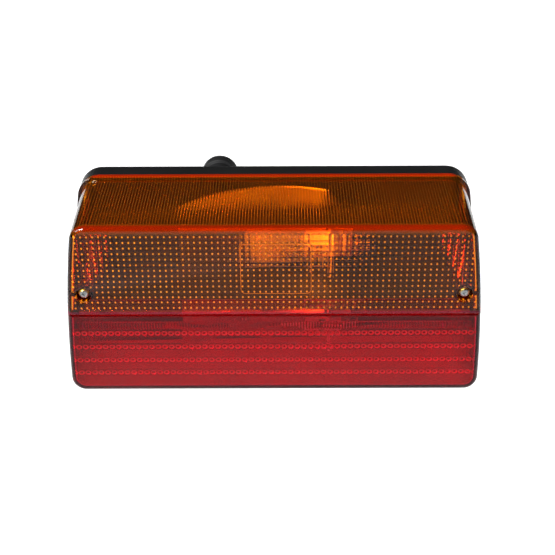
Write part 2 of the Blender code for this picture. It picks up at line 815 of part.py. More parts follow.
def make_mounting_bolts():
    washer_y = PANEL_GAP
    nut_y = washer_y + WASHER_THICKNESS + FIT
    for word, side in sides():
        x = side * BOLT_SPACING / 2
        head_y = PLATE_Y - FIT
        bolt = hexagon(
            f"mounting_bolt_{word}",
            (x, head_y, BOLT_Z),
            (0, -1, 0),
            BOLT_HEAD_FLATS,
            BOLT_HEAD_HEIGHT,
            ZINC,
        )
        shank = rod(
            f"bolt_shank_{word}",
            (x, head_y - BOLT_HEAD_HEIGHT / 2, BOLT_Z),
            (x, BOLT_LENGTH - BOLT_TIP, BOLT_Z),
            BOLT_RADIUS,
        )
        join(bolt, shank)
        tip = rod(
            f"bolt_tip_{word}",
            (x, BOLT_LENGTH - BOLT_TIP * 1.5, BOLT_Z),
            (x, BOLT_LENGTH, BOLT_Z),
            BOLT_RADIUS - FIT,
            end_radius=BOLT_RADIUS - BOLT_TIP,
        )
        join(bolt, tip)
        inner = BOLT_RADIUS + FIT
        washer(
            f"mounting_washer_{word}",
            (x, washer_y, BOLT_Z),
            (0, 1, 0),
            WASHER_RADIUS,
            inner,
            WASHER_THICKNESS,
            ZINC,
        )
        nut = hexagon(
            f"mounting_nut_{word}",
            (x, nut_y, BOLT_Z),
            (0, 1, 0),
            BOLT_HEAD_FLATS,
            NUT_HEIGHT,
            ZINC,
        )
        bore = rod(
            f"nut_bore_{word}", (x, 0, BOLT_Z), (x, BOLT_LENGTH, BOLT_Z), inner
        )
        cut(nut, bore)


# ---------------------------------------------------------------- reflectors and brackets
def make_reflector(name):
    """A bright sheet bent to a cylinder round an upright axis, open towards the front."""
    low, high = CHAMBERS[name]
    low, high = low + REFLECTOR_EDGE_GAP, high - REFLECTOR_EDGE_GAP
    right = BRACKET_X - FIT - BRACKET_SHEET
    rear, front = [], []
    for k in range(REFLECTOR_STEPS + 1):
        x = REFLECTOR_LEFT + (right - REFLECTOR_LEFT) * k / REFLECTOR_STEPS
        normal = Vector((x - REFLECTOR_APEX_X, 0.0)) / REFLECTOR_RADIUS
        y = REFLECTOR_APEX_Y - reflector_drop(x)
        lean = math.sqrt(1 - normal.x**2)
        rear.append((x, y))
        front.append((x - normal.x * REFLECTOR_SHEET, y - lean * REFLECTOR_SHEET))
    section = rear + front[::-1]
    rings = [[(x, y, z) for x, y in section] for z in (low, high)]
    sheet = loft(f"{name}_reflector", rings, MIRROR_METAL)
    for k, (x, z) in enumerate(reflector_screws(name)):
        hole = rod(
            f"{name}_reflector_hole_{k}",
            (x, REFLECTOR_APEX_Y - REFLECTOR_SHEET - CUT_BEYOND, z),
            (x, REFLECTOR_APEX_Y + CUT_BEYOND, z),
            SMALL_SCREW_SHANK + FIT,
        )
        cut(sheet, hole)
        seat = (x, REFLECTOR_APEX_Y - REFLECTOR_SHEET - FIT, z)
        pan_screw(
            f"{name}_reflector_screw",
            seat,
            (0, -1, 0),
            SMALL_SCREW_HEAD,
            SMALL_SCREW_HEAD_HEIGHT,
            SMALL_SCREW_SHANK,
            SMALL_SCREW_LENGTH,
            ZINC,
        )


def make_bracket(name):
    """An L of steel sheet: a foot on its pillar and an upright plate that holds the socket."""
    z = chamber_middle(name)
    foot_y = bracket_foot_y()
    face_y = foot_y - BRACKET_SHEET
    nose_y = BULB_Y - BRACKET_NOSE
    half = BRACKET_HALF_HEIGHT
    upright = box(
        f"{name}_bracket",
        (BRACKET_X, nose_y, z - half),
        (BRACKET_X + BRACKET_SHEET, foot_y, z + half),
        ZINC,
    )
    foot = box(
        f"{name}_bracket_foot",
        (BRACKET_X + BRACKET_SHEET / 2, face_y, z - half),
        (BRACKET_X + BRACKET_FOOT, foot_y, z + half),
    )
    join(upright, foot)
    hole = rod(
        f"{name}_socket_hole",
        (BRACKET_X - CUT_BEYOND, BULB_Y, z),
        (BRACKET_X + BRACKET_SHEET + CUT_BEYOND, BULB_Y, z),
        SOCKET_OUTER + FIT,
    )
    cut(upright, hole)
    screw_at = bracket_screw_x()
    fixing = rod(
        f"{name}_foot_hole",
        (screw_at, face_y - CUT_BEYOND, z),
        (screw_at, foot_y + CUT_BEYOND, z),
        SMALL_SCREW_SHANK + FIT,
    )
    cut(upright, fixing)
    pan_screw(
        f"{name}_bracket_screw",
        (screw_at, face_y - FIT, z),
        (0, -1, 0),
        SMALL_SCREW_HEAD,
        SMALL_SCREW_HEAD_HEIGHT,
        SMALL_SCREW_SHANK,
        SMALL_SCREW_LENGTH,
        ZINC,
    )


# ---------------------------------------------------------------- sockets and bulbs
def socket_point(name, distance):
    return Vector((SOCKET_MOUTH_X + distance, BULB_Y, chamber_middle(name)))


def pins(name):
    """(angle round the axis, distance from the mouth) of each bayonet pin at rest."""
    deeper = PIN_STAGGER if name == "stop_tail" else 0.0
    return ((0.0, PIN_ALONG), (math.pi, PIN_ALONG + deeper))


def sector(name, centre, start, end, inner, outer, low, high):
    """A curved block round the X axis, from one angle to another."""
    steps = 6
    rings = []
    for k in range(steps + 1):
        a = start + (end - start) * k / steps
        out = Vector((0, math.cos(a), math.sin(a)))
        rings.append(
            [
                centre + Vector((x, 0, 0)) + out * r
                for x, r in ((low, inner), (high, inner), (high, outer), (low, outer))
            ]
        )
    return loft(name, rings)


def make_socket(name):
    """A thin shell with two L-shaped slots, a stop flange on the bracket and an open rear."""
    outer = SOCKET_OUTER
    flange_at = BRACKET_X + BRACKET_SHEET + FIT - SOCKET_MOUTH_X
    profile = [
        (SOCKET_INNER, SOCKET_LENGTH),
        (outer, SOCKET_LENGTH),
        (outer, flange_at + SOCKET_FLANGE_THICKNESS),
        (outer + SOCKET_FLANGE_WIDTH, flange_at + SOCKET_FLANGE_THICKNESS),
        (outer + SOCKET_FLANGE_WIDTH, flange_at),
        (outer, flange_at),
        (outer, 0.0),
        (SOCKET_INNER, 0.0),
    ]
    mouth = socket_point(name, 0)
    shell = turned(
        f"{name}_socket", profile, mouth, (1, 0, 0), ZINC, closed=True, steps=36
    )
    width = PIN_RADIUS + PIN_PLAY
    spread = width / outer
    for k, (angle, distance) in enumerate(pins(name)):
        near, far = SOCKET_INNER - CUT_BEYOND, outer + CUT_BEYOND
        window = sector(
            f"{name}_slot_{k}",
            mouth,
            angle - spread,
            angle + TURN_ANGLE + spread,
            near,
            far,
            distance - width,
            distance + width + PRESS_TRAVEL,
        )
        entry = sector(
            f"{name}_entry_{k}",
            mouth,
            angle + TURN_ANGLE - spread,
            angle + TURN_ANGLE + spread,
            near,
            far,
            -CUT_BEYOND,
            distance + width,
        )
        cut(shell, window)
        cut(shell, entry)
    return shell


def contact_spots(name):
    """Height of each contact above the axis: one for the indicator, two for stop and tail."""
    half = CONTACT_SPACING / 2
    return (0.0,) if name == "indicator" else (-half, half)


def cap_end():
    return CAP_LENGTH - CAP_MOUTH


def disc_at():
    return cap_end() + CONTACT_TIP + FIT + CONTACT_TIP


def make_contacts(name):
    """The sprung disc behind the bulb, its raised contacts, the spring and the rear insulator."""
    start = disc_at()
    disc = rod(
        f"{name}_contact_disc",
        socket_point(name, start),
        socket_point(name, start + DISC_THICKNESS),
        DISC_RADIUS,
        BROWN_BOARD,
    )
    for k, lift in enumerate(contact_spots(name)):
        offset = Vector((0, 0, lift))
        tip = rod(
            f"{name}_disc_tip_{k}",
            socket_point(name, start + DISC_THICKNESS / 2) + offset,
            socket_point(name, start - CONTACT_TIP) + offset,
            CONTACT_ROOT,
            end_radius=CONTACT_END,
            facets=16,
        )
        join(disc, tip)
    spring_start = start + DISC_THICKNESS + SPRING_WIRE + FIT
    spring_end = SOCKET_LENGTH - SPRING_WIRE - FIT
    coil = []
    count = SPRING_TURNS * SPRING_POINTS
    for k in range(count + 1):
        a = 2 * math.pi * k / SPRING_POINTS
        distance = spring_start + (spring_end - spring_start) * k / count
        out = Vector((0, math.cos(a), math.sin(a))) * SPRING_RADIUS
        coil.append(socket_point(name, distance) + out)
    wire(f"{name}_contact_spring", coil, SPRING_WIRE, ZINC)
    rear = rod(
        f"{name}_socket_end",
        socket_point(name, SOCKET_LENGTH + FIT),
        socket_point(name, SOCKET_LENGTH + SOCKET_END_THICKNESS),
        SOCKET_OUTER,
        BROWN_BOARD,
    )
    for k, lift in enumerate(contact_spots(name)):
        make_tab(name, k, lift, rear)


def make_tab(name, k, lift, rear):
    """A blade terminal standing in a slot of the rear insulator."""
    words = {"indicator": ("indicator_tab",), "stop_tail": ("stop_tab", "tail_tab")}
    half_w, half_t = TAB_WIDTH / 2, TAB_THICKNESS / 2
    centre = socket_point(name, SOCKET_LENGTH) + Vector((0, 0, lift))
    low = centre + Vector((SOCKET_END_THICKNESS / 2, -half_w, -half_t))
    high = centre + Vector((SOCKET_END_THICKNESS + TAB_LENGTH, half_w, half_t))
    box(words[name][k], low, high, BRASS)
    margin = Vector((FIT, FIT, FIT))
    cut(rear, box(f"{name}_tab_slot_{k}", low - margin, high + margin))


def make_bulb_cap(name):
    """The brass cap: a cup closed at the contact end, with two bayonet pins."""
    profile = [
        (0.0, cap_end()),
        (CAP_RADIUS - CAP_CHAMFER, cap_end()),
        (CAP_RADIUS, cap_end() - CAP_CHAMFER),
        (CAP_RADIUS, -CAP_MOUTH),
        (CAP_RADIUS - CAP_WALL, -CAP_MOUTH),
        (CAP_RADIUS - CAP_WALL, GLASS_IN_CAP + CAP_WALL),
        (0.0, GLASS_IN_CAP + CAP_WALL),
    ]
    cap = turned(f"{name}_bulb_cap", profile, socket_point(name, 0), (1, 0, 0), BRASS)
    for k, (angle, distance) in enumerate(pins(name)):
        out = Vector((0, math.cos(angle), math.sin(angle)))
        centre = socket_point(name, distance)
        pin = rod(
            f"{name}_pin_{k}",
            centre + out * (CAP_RADIUS - CAP_WALL),
            centre + out * PIN_REACH,
            PIN_RADIUS,
            facets=16,
        )
        join(cap, pin)
    for k, lift in enumerate(contact_spots(name)):
        offset = Vector((0, 0, lift))
        dome = rod(
            f"{name}_solder_{k}",
            socket_point(name, cap_end() - CAP_WALL) + offset,
            socket_point(name, cap_end() + CONTACT_TIP - FIT) + offset,
            CONTACT_ROOT,
            end_radius=CONTACT_END,
            facets=16,
        )
        join(cap, dome)


def ball_centre():
    return -(GLASS_LENGTH - GLASS_RADIUS)


def glass_profile(radius_in):
    """Outer or inner side of the envelope as (radius, distance), dome end first."""
    ball, neck = GLASS_RADIUS - radius_in, GLASS_NECK - radius_in
    centre = ball_centre()
    neck_start = -CAP_MOUTH - NECK_FREE
    points = [(ball * math.sin(a), centre - ball * math.cos(a)) for a in DOME_ANGLES]
    points.append((neck + SHOULDER_SPREAD, neck_start - SHOULDER_LENGTH))
    points.append((neck, neck_start))
    points.append((neck, GLASS_IN_CAP))
    return [(0.0, centre - ball), *points]


def make_bulb_glass(name):
    """A pear-shaped envelope, open at the neck inside the cap."""
    outer = glass_profile(0.0)
    inner = glass_profile(GLASS_WALL)
    profile = inner + outer[::-1]
    mouth = socket_point(name, 0)
    obj = turned(f"{name}_bulb_glass", profile[::-1], mouth, (1, 0, 0), GLASS)
    obj.modifiers["spin"].use_normal_flip = True
    return obj


def filament_words(name):
    if name == "indicator":
        return (("indicator_filament", 0.0),)
    half = FILAMENT_SPACING / 2
    return (("stop_filament", half), ("tail_filament", -half))


def make_bulb_inside(name):
    """The glass stem that carries the lead wires, and each filament with its two supports."""
    stem = [
        (0.0, GLASS_IN_CAP - FIT),
        (STEM_RADIUS, GLASS_IN_CAP - FIT),
        (STEM_RADIUS, CAP_MOUTH),
        (STEM_TIP, 1 * MM - STEM_LENGTH),
        (0.0, -STEM_LENGTH),
    ]
    mouth = socket_point(name, 0)
    turned(f"{name}_bulb_stem", stem, mouth, (1, 0, 0), GLASS, steps=20)
    centre = ball_centre()
    start = -STEM_LENGTH - 2 * FIT
    bend = start - 3 * MM
    reach, waves = FILAMENT_HALF_LENGTH, FILAMENT_WAVES
    for word, lift in filament_words(name):
        path = [(start, -SUPPORT_SPREAD), (bend, -SUPPORT_SPREAD * 1.6), (centre, -reach)]
        for k in range(1, 2 * waves):
            swing = FILAMENT_SWING * (-1) ** k
            path.append((centre + swing, reach * (k / waves - 1)))
        path += [(centre, reach), (bend, SUPPORT_SPREAD * 1.6), (start, SUPPORT_SPREAD)]
        points = [mouth + Vector((x, y, lift)) for x, y in path]
        wire(word, points, FILAMENT_WIRE, TUNGSTEN)


def make_light_source(name):
    make_socket(name)
    make_contacts(name)
    make_bulb_cap(name)
    make_bulb_glass(name)
    make_bulb_inside(name)


# ---------------------------------------------------------------- terminals and leads
def pole_x(k):
    return STRIP_RIGHT - POLE_PITCH * (k + 0.5)


def strip_middle_z():
    return JOINT_Z + STRIP_ABOVE_JOINT + STRIP_HEIGHT / 2


def make_terminal_strip():
    """A moulded strip with a clamp screw over each pole, standing on the back plate."""
    back = PLATE_Y - FIT
    front = back - STRIP_THICKNESS
    z0 = JOINT_Z + STRIP_ABOVE_JOINT
    strip = box(
        "terminal_strip",
        (STRIP_RIGHT - POLE_PITCH * POLES, front, z0),
        (STRIP_RIGHT, back, z0 + STRIP_HEIGHT),
        BROWN_BOARD,
    )
    z = strip_middle_z()
    for k in range(POLES):
        x = pole_x(k)
        well = rod(
            f"pole_well_{k}",
            (x, front + WELL_DEPTH, z),
            (x, front - CUT_BEYOND, z),
            SMALL_SCREW_HEAD + FIT,
            facets=20,
        )
        cut(strip, well)
        deep = (x, front + WELL_DEPTH + THREAD_DEPTH, z)
        thread = rod(
            f"pole_thread_{k}",
            deep,
            (x, front, z),
            SMALL_SCREW_SHANK + FIT,
            facets=16,
        )
        cut(strip, thread)
        mouth = lead_start(k)
        slot = rod(
            f"pole_mouth_{k}",
            (mouth.x, mouth.y, z0 - CUT_BEYOND),
            (mouth.x, mouth.y, mouth.z + LEAD_RADIUS / 2),
            LEAD_RADIUS + FIT,
            facets=16,
        )
        cut(strip, slot)
        pan_screw(
            f"terminal_screw_{k + 1}",
            (x, front + WELL_DEPTH - FIT, z),
            (0, -1, 0),
            SMALL_SCREW_HEAD,
            SMALL_SCREW_HEAD_HEIGHT,
            SMALL_SCREW_SHANK,
            CLAMP_SCREW_LENGTH,
            BRASS,
        )


def lead_start(k):
    """Where a lead leaves its pole, at the strip's lower side."""
    z0 = JOINT_Z + STRIP_ABOVE_JOINT
    return Vector((pole_x(k), PLATE_Y - FIT - STRIP_THICKNESS / 2, z0 + LEAD_RADIUS))


def tab_end(name, k):
    """Where a lead meets its blade terminal."""
    lift = contact_spots(name)[k]
    end = SOCKET_LENGTH + SOCKET_END_THICKNESS + TAB_LENGTH + FIT + LEAD_RADIUS
    return socket_point(name, end) + Vector((0, 0, lift))


def lead_routes():
    """Points each lead passes through, clear of the posts, the divider and one another."""
    plate = PLATE_Y - LEAD_RADIUS - 2 * FIT
    upper = AMBER_FLOOR + LEAD_RADIUS + 2 * FIT
    lower = RED_ROOF - LEAD_RADIUS - 2 * FIT
    pitch = LEAD_PITCH
    clear_x = BRACKET_X + BRACKET_FOOT + 3 * pitch
    blinker = tab_end("indicator", 0)
    foot = Vector(
        (
            BRACKET_X + BRACKET_FOOT + LEAD_RADIUS + FIT,
            bracket_foot_y() - BRACKET_SHEET / 2,
            chamber_middle("indicator") - BRACKET_HALF_HEIGHT + 3 * MM,
        )
    )
    starts = [lead_start(k) for k in range(POLES)]
    necks = [start - Vector((0, 0, LEAD_NECK)) for start in starts]
    drops = [start - Vector((0, 0, LEAD_DROP)) for start in starts]
    indicator = [
        starts[0],
        necks[0],
        drops[0],
        (STRIP_RIGHT + 6 * MM, plate - pitch, upper + 4 * MM),
        (BRACKET_X, plate - pitch, upper + 4 * MM),
        (clear_x - pitch, plate - pitch, upper + 6 * MM),
        (clear_x, plate - LEAD_RISE, upper + 9 * MM),
        (blinker.x + pitch, BULB_Y + 4 * MM, blinker.z - 3 * MM),
        blinker,
    ]
    earth = [
        starts[3],
        necks[3],
        drops[3],
        (pole_x(2), plate - 2.4 * pitch, upper + 2 * MM),
        (STRIP_RIGHT, plate - 2.6 * pitch, upper),
        (BRACKET_X, plate - 2.6 * pitch, upper),
        (foot.x + 2 * MM, plate - 2.6 * pitch, upper + 1 * MM),
        foot - Vector((0, 0, 3 * MM)),
        foot,
    ]
    routes = {
        "indicator_lead": (indicator, YELLOW_LEAD),
        "earth_lead": (earth, WHITE_LEAD),
    }
    for k, (word, look) in enumerate((("tail_lead", BROWN_LEAD), ("stop_lead", RED_LEAD))):
        end = tab_end("stop_tail", 1 - k)
        gate_x = STRIP_RIGHT + (1 - 2 * k) * pitch
        under = lower - (1.5 + k) * pitch
        route = [
            starts[k + 1],
            necks[k + 1],
            drops[k + 1],
            (gate_x - 1 * MM, plate, AMBER_FLOOR + 3 * MM),
            (gate_x, plate, JOINT_Z),
            (gate_x + 2 * MM, plate, RED_ROOF - 3 * MM),
            (gate_x + 9 * MM, plate, under),
            (BRACKET_X, plate, under),
            (clear_x - (1 - k) * pitch, plate - 2 * MM, under - 1 * MM),
            (clear_x + k * pitch, plate - LEAD_RISE, under - 4 * MM),
            (end.x + pitch, BULB_Y + 4 * MM, end.z + 2 * MM),
            end,
        ]
        routes[word] = (route, look)
    return routes


def make_leads():
    for word, (route, look) in lead_routes().items():
        wire(word, smooth_path(route), LEAD_RADIUS, look)


# ---------------------------------------------------------------- assembly
def named(*words):
    return [bpy.data.objects[word] for word in words]


def hang_moving_pieces():
    lens = ["amber_lens", "red_lens"]
    for word, _ in sides():
        lens += [f"lens_screw_{word}", f"screw_seal_{word}"]
    hang("lens_slide", (0, RIM_Y, 0), named(*lens))
    for name in CHAMBERS:
        axis = socket_point(name, 0)
        hang(f"{name}_press_axis", axis, named(f"{name}_contact_disc"))
        bulb = [f"{name}_bulb_{word}" for word in ("cap", "glass", "stem")]
        bulb += [word for word, _ in filament_words(name)]
        hang(f"{name}_turn_axis", axis, named(*bulb))


make_lenses()
make_lens_screws()
make_housing()
make_seal()
make_inserts()
make_grommet()
make_mounting_bolts()
for chamber in CHAMBERS:
    make_reflector(chamber)
    make_bracket(chamber)
    make_light_source(chamber)
make_terminal_strip()
make_leads()
hang_moving_pieces()
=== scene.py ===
import math

import bmesh
import bpy
import numpy as np
from mathutils import Matrix, Vector


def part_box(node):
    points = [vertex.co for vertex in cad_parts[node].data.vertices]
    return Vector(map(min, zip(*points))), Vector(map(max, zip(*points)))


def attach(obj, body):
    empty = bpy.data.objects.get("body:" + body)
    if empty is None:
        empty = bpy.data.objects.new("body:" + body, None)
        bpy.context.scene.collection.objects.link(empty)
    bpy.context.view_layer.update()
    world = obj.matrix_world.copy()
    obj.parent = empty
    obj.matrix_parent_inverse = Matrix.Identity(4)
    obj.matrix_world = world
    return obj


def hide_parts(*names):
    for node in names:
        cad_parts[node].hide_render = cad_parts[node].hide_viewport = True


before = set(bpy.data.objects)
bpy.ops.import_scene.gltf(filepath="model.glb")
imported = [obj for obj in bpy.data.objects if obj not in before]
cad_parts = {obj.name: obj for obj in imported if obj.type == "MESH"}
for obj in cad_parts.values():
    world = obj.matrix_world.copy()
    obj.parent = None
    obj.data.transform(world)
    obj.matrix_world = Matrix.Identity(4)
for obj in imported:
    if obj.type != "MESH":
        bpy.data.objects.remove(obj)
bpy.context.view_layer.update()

mm = 0.001


def newMaterial(name):
    made = bpy.data.materials.new(name)
    made.use_nodes = True
    tree = made.node_tree
    return made, tree, tree.nodes["Principled BSDF"]


def objectPoint(tree):
    return tree.nodes.new("ShaderNodeTexCoord").outputs["Object"]


def noise(tree, point, scale, detail=3.0):
    made = tree.nodes.new("ShaderNodeTexNoise")
    made.inputs["Scale"].default_value = scale
    made.inputs["Detail"].default_value = detail
    tree.links.new(point, made.inputs["Vector"])
    return made.outputs["Fac"]


def ramp(tree, value, low, high, colourLow, colourHigh):
    made = tree.nodes.new("ShaderNodeValToRGB")
    made.color_ramp.elements[0].position = low
    made.color_ramp.elements[1].position = high
    made.color_ramp.elements[0].color = (*colourLow, 1.0)
    made.color_ramp.elements[1].color = (*colourHigh, 1.0)
    tree.links.new(value, made.inputs["Fac"])
    return made.outputs["Color"]


def mapRange(tree, value, low, high, outLow=0.0, outHigh=1.0):
    made = tree.nodes.new("ShaderNodeMapRange")
    made.inputs["From Min"].default_value = low
    made.inputs["From Max"].default_value = high
    made.inputs["To Min"].default_value = outLow
    made.inputs["To Max"].default_value = outHigh
    tree.links.new(value, made.inputs["Value"])
    return made.outputs["Result"]


def combine(tree, operation, first, second):
    made = tree.nodes.new("ShaderNodeMath")
    made.operation = operation
    for socket, value in zip(made.inputs, (first, second)):
        if isinstance(value, (int, float)):
            socket.default_value = value
        else:
            tree.links.new(value, socket)
    return made.outputs["Value"]


def mixColour(tree, factor, first, second):
    made = tree.nodes.new("ShaderNodeMix")
    made.data_type = "RGBA"
    tree.links.new(factor, made.inputs["Factor"])
    for name, value in (("A", first), ("B", second)):
        socket = next(s for s in made.inputs if s.name == name and s.type == "RGBA")
        if isinstance(value, tuple):
            socket.default_value = (*value, 1.0)
        else:
            tree.links.new(value, socket)
    return next(s for s in made.outputs if s.type == "RGBA")


def axes(tree):
    split = tree.nodes.new("ShaderNodeSeparateXYZ")
    coords = tree.nodes.new("ShaderNodeTexCoord")
    tree.links.new(coords.outputs["Object"], split.inputs["Vector"])
    return split.outputs["X"], split.outputs["Y"], split.outputs["Z"]


def addBump(tree, shader, height, strength, distance):
    bump = tree.nodes.new("ShaderNodeBump")
    bump.inputs["Strength"].default_value = strength
    bump.inputs["Distance"].default_value = distance
    tree.links.new(height, bump.inputs["Height"])
    tree.links.new(bump.outputs["Normal"], shader.inputs["Normal"])


def texturedPlastic(name, settings):
    made, tree, shader = newMaterial(name)
    fine = noise(tree, objectPoint(tree), settings["grain"], 2.0)
    broad = noise(tree, objectPoint(tree), settings["cloud"], 4.0)
    colour = ramp(tree, broad, 0.3, 0.75, settings["dark"], settings["light"])
    tree.links.new(colour, shader.inputs["Base Color"])
    rough = mapRange(tree, fine, 0.3, 0.7, settings["smooth"], settings["rough"])
    tree.links.new(rough, shader.inputs["Roughness"])
    addBump(tree, shader, fine, settings["bump"], settings["depth"])
    shader.inputs["Specular IOR Level"].default_value = settings["gloss"]
    return made


def plainMetal(name, settings):
    made, tree, shader = newMaterial(name)
    shader.inputs["Metallic"].default_value = 1.0
    cloud = noise(tree, objectPoint(tree), settings["grain"], 4.0)
    colour = ramp(tree, cloud, 0.25, 0.8, settings["dark"], settings["light"])
    tree.links.new(colour, shader.inputs["Base Color"])
    rough = mapRange(tree, cloud, 0.2, 0.8, settings["smooth"], settings["rough"])
    tree.links.new(rough, shader.inputs["Roughness"])
    addBump(tree, shader, cloud, settings["bump"], 0.0002)
    return made


print("materials")
blackPlastic = texturedPlastic("blackTrayPlastic", {
    "grain": 2600.0, "cloud": 60.0, "dark": (0.0085, 0.0087, 0.0088), "light": (0.013, 0.0132, 0.0132),
    "smooth": 0.36, "rough": 0.5, "bump": 0.25, "depth": 0.0002, "gloss": 0.4,
})
blackRubber = texturedPlastic("blackRubber", {
    "grain": 1500.0, "cloud": 90.0, "dark": (0.009, 0.009, 0.0095), "light": (0.018, 0.018, 0.019),
    "smooth": 0.5, "rough": 0.72, "bump": 0.3, "depth": 0.0002, "gloss": 0.35,
})
brownBoard = texturedPlastic("brownBoard", {
    "grain": 900.0, "cloud": 200.0, "dark": (0.13, 0.05, 0.022), "light": (0.24, 0.1, 0.045),
    "smooth": 0.4, "rough": 0.55, "bump": 0.15, "depth": 0.0001, "gloss": 0.5,
})
brightZinc = plainMetal("brightZinc", {
    "grain": 420.0, "dark": (0.50, 0.53, 0.56), "light": (0.78, 0.80, 0.80),
    "smooth": 0.2, "rough": 0.38, "bump": 0.06,
})
satinZinc = plainMetal("satinZinc", {
    "grain": 420.0, "dark": (0.84, 0.85, 0.86), "light": (0.95, 0.95, 0.94),
    "smooth": 0.55, "rough": 0.7, "bump": 0.05,
})
brassMetal = plainMetal("brassMetal", {
    "grain": 300.0, "dark": (0.55, 0.36, 0.13), "light": (0.78, 0.58, 0.27),
    "smooth": 0.2, "rough": 0.35, "bump": 0.04,
})
tungstenWire = plainMetal("tungstenWire", {
    "grain": 900.0, "dark": (0.2, 0.2, 0.21), "light": (0.34, 0.34, 0.35),
    "smooth": 0.3, "rough": 0.5, "bump": 0.02,
})


def leadInsulation(name, dark, light):
    return texturedPlastic(name, {
        "grain": 700.0, "cloud": 150.0, "dark": dark, "light": light,
        "smooth": 0.3, "rough": 0.42, "bump": 0.08, "depth": 0.0001, "gloss": 0.5,
    })


yellowLead = leadInsulation("yellowLead", (0.6, 0.4, 0.03), (0.75, 0.55, 0.06))
redLead = leadInsulation("redLead", (0.4, 0.015, 0.015), (0.55, 0.03, 0.03))
brownLead = leadInsulation("brownLead", (0.12, 0.045, 0.02), (0.18, 0.07, 0.03))
whiteLead = leadInsulation("whiteLead", (0.66, 0.66, 0.63), (0.78, 0.78, 0.75))


def clearGlass(name):
    made, tree, shader = newMaterial(name)
    shader.inputs["Base Color"].default_value = (0.98, 0.97, 0.95, 1.0)
    shader.inputs["Transmission Weight"].default_value = 0.82  # the rest is a faint pearl coating
    shader.inputs["IOR"].default_value = 1.5
    haze = noise(tree, objectPoint(tree), 120.0)
    tree.links.new(mapRange(tree, haze, 0.3, 0.8, 0.0, 0.03), shader.inputs["Roughness"])
    return made


bulbGlass = clearGlass("bulbGlass")

# The outline that both lens colours share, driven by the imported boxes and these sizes
amberLow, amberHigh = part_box("amber_lens")
redLow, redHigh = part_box("red_lens")
lens = {
    "halfWidth": 116.0 * mm,
    "sideRadius": 655.0 * mm,
    "sideRise": 4.8 * mm,
    "topCorner": 9.5 * mm,
    "bottomCorner": 8.0 * mm,
    "wall": 2.5 * mm,
    "draft": math.radians(2.0),
    "frontFillet": 3.0 * mm,
    "jointFillet": 1.0 * mm,
    "jointGap": 0.3 * mm,
    "lipWidth": 2.0 * mm,
    "lipThickness": 2.7 * mm,
    "lipRoot": 0.4 * mm,
    "shelf": 14.0 * mm,
    "straight": 96.0 * mm,  # columns inside this half width stay straight
}
lensFrontY = amberLow[1]
lipBackY = amberHigh[1]
redFrontY = redLow[1]
lipFrontY = lipBackY - lens["lipThickness"]
draftGrowth = (lipFrontY - lensFrontY) * math.tan(lens["draft"])
rimOuter = draftGrowth + lens["lipWidth"]
rimInner = draftGrowth - lens["wall"]
lensTop = amberHigh[2] - rimOuter
lensBottom = redLow[2] + rimOuter
jointZ = (amberLow[2] + redHigh[2]) / 2
sideCentreX = lens["halfWidth"] - lens["sideRadius"]
sideCentreZ = lensBottom + lens["sideRise"]


def draftAt(y):
    return (y - lensFrontY) * math.tan(lens["draft"])


def sideX(z, grow=0.0):
    # Half width at height z: the big side arc, moved outwards by grow.
    return sideCentreX + np.sqrt((lens["sideRadius"] + grow) ** 2 - (z - sideCentreZ) ** 2)


def cornerOf(part):
    # Centre, radius and start angle of the corner arc, which touches the side arc from inside.
    up = 1 if part == "amber" else -1
    radius = lens["topCorner"] if up > 0 else lens["bottomCorner"]
    z = (lensTop - radius) if up > 0 else (lensBottom + radius)
    x = sideCentreX + math.sqrt((lens["sideRadius"] - radius) ** 2 - (z - sideCentreZ) ** 2)
    return x, z, radius, math.atan2(z - sideCentreZ, x - sideCentreX), up


def lensSheet(part, grow, lift, grid):
    # A grid over the face: rows run from the joint to the outer edge and end in equal steps round the
    # corner; columns are upright in the middle and spread to meet the sides.
    x0, z0, radius, startAngle, up = cornerOf(part)
    start = jointZ + up * lift
    cornerStart = z0 + (radius + grow) * math.sin(startAngle)
    rise = np.linspace(0.0, 1.0, grid["rows"])
    zStraight = start + (cornerStart - start) * rise
    turn = np.linspace(startAngle, up * math.pi / 2, grid["cornerRows"] + 1)[1:]
    z = np.concatenate([zStraight, z0 + (radius + grow) * np.sin(turn)])
    width = np.concatenate([sideX(zStraight, grow), x0 + (radius + grow) * np.cos(turn)])
    straight = np.linspace(0.0, lens["straight"], grid["columns"])
    spread = np.linspace(0.0, 1.0, grid["edgeColumns"] + 1)[1:]
    right = np.concatenate([
        np.broadcast_to(straight, (len(z), len(straight))),
        lens["straight"] + (width[:, None] - lens["straight"]) * spread[None, :],
    ], axis=1)
    x = np.concatenate([-right[:, :0:-1], right], axis=1)
    return x, np.broadcast_to(z[:, None], x.shape).copy()


def edgeLoop(values):
    # The border of a grid as one loop: first row, last column, last row back, first column back.
    return np.concatenate([values[0, :], values[1:, -1], values[-1, -2::-1], values[-2:0:-1, 0]])


def quads(rows, columns, wrap=False):
    index = np.arange(rows * columns).reshape(rows, columns)
    if wrap:
        index = np.concatenate([index, index[:, :1]], axis=1)
    a, b = index[:-1, :-1], index[:-1, 1:]
    c, d = index[1:, 1:], index[1:, :-1]
    return np.stack([a, b, c, d], axis=-1).reshape(-1, 4)


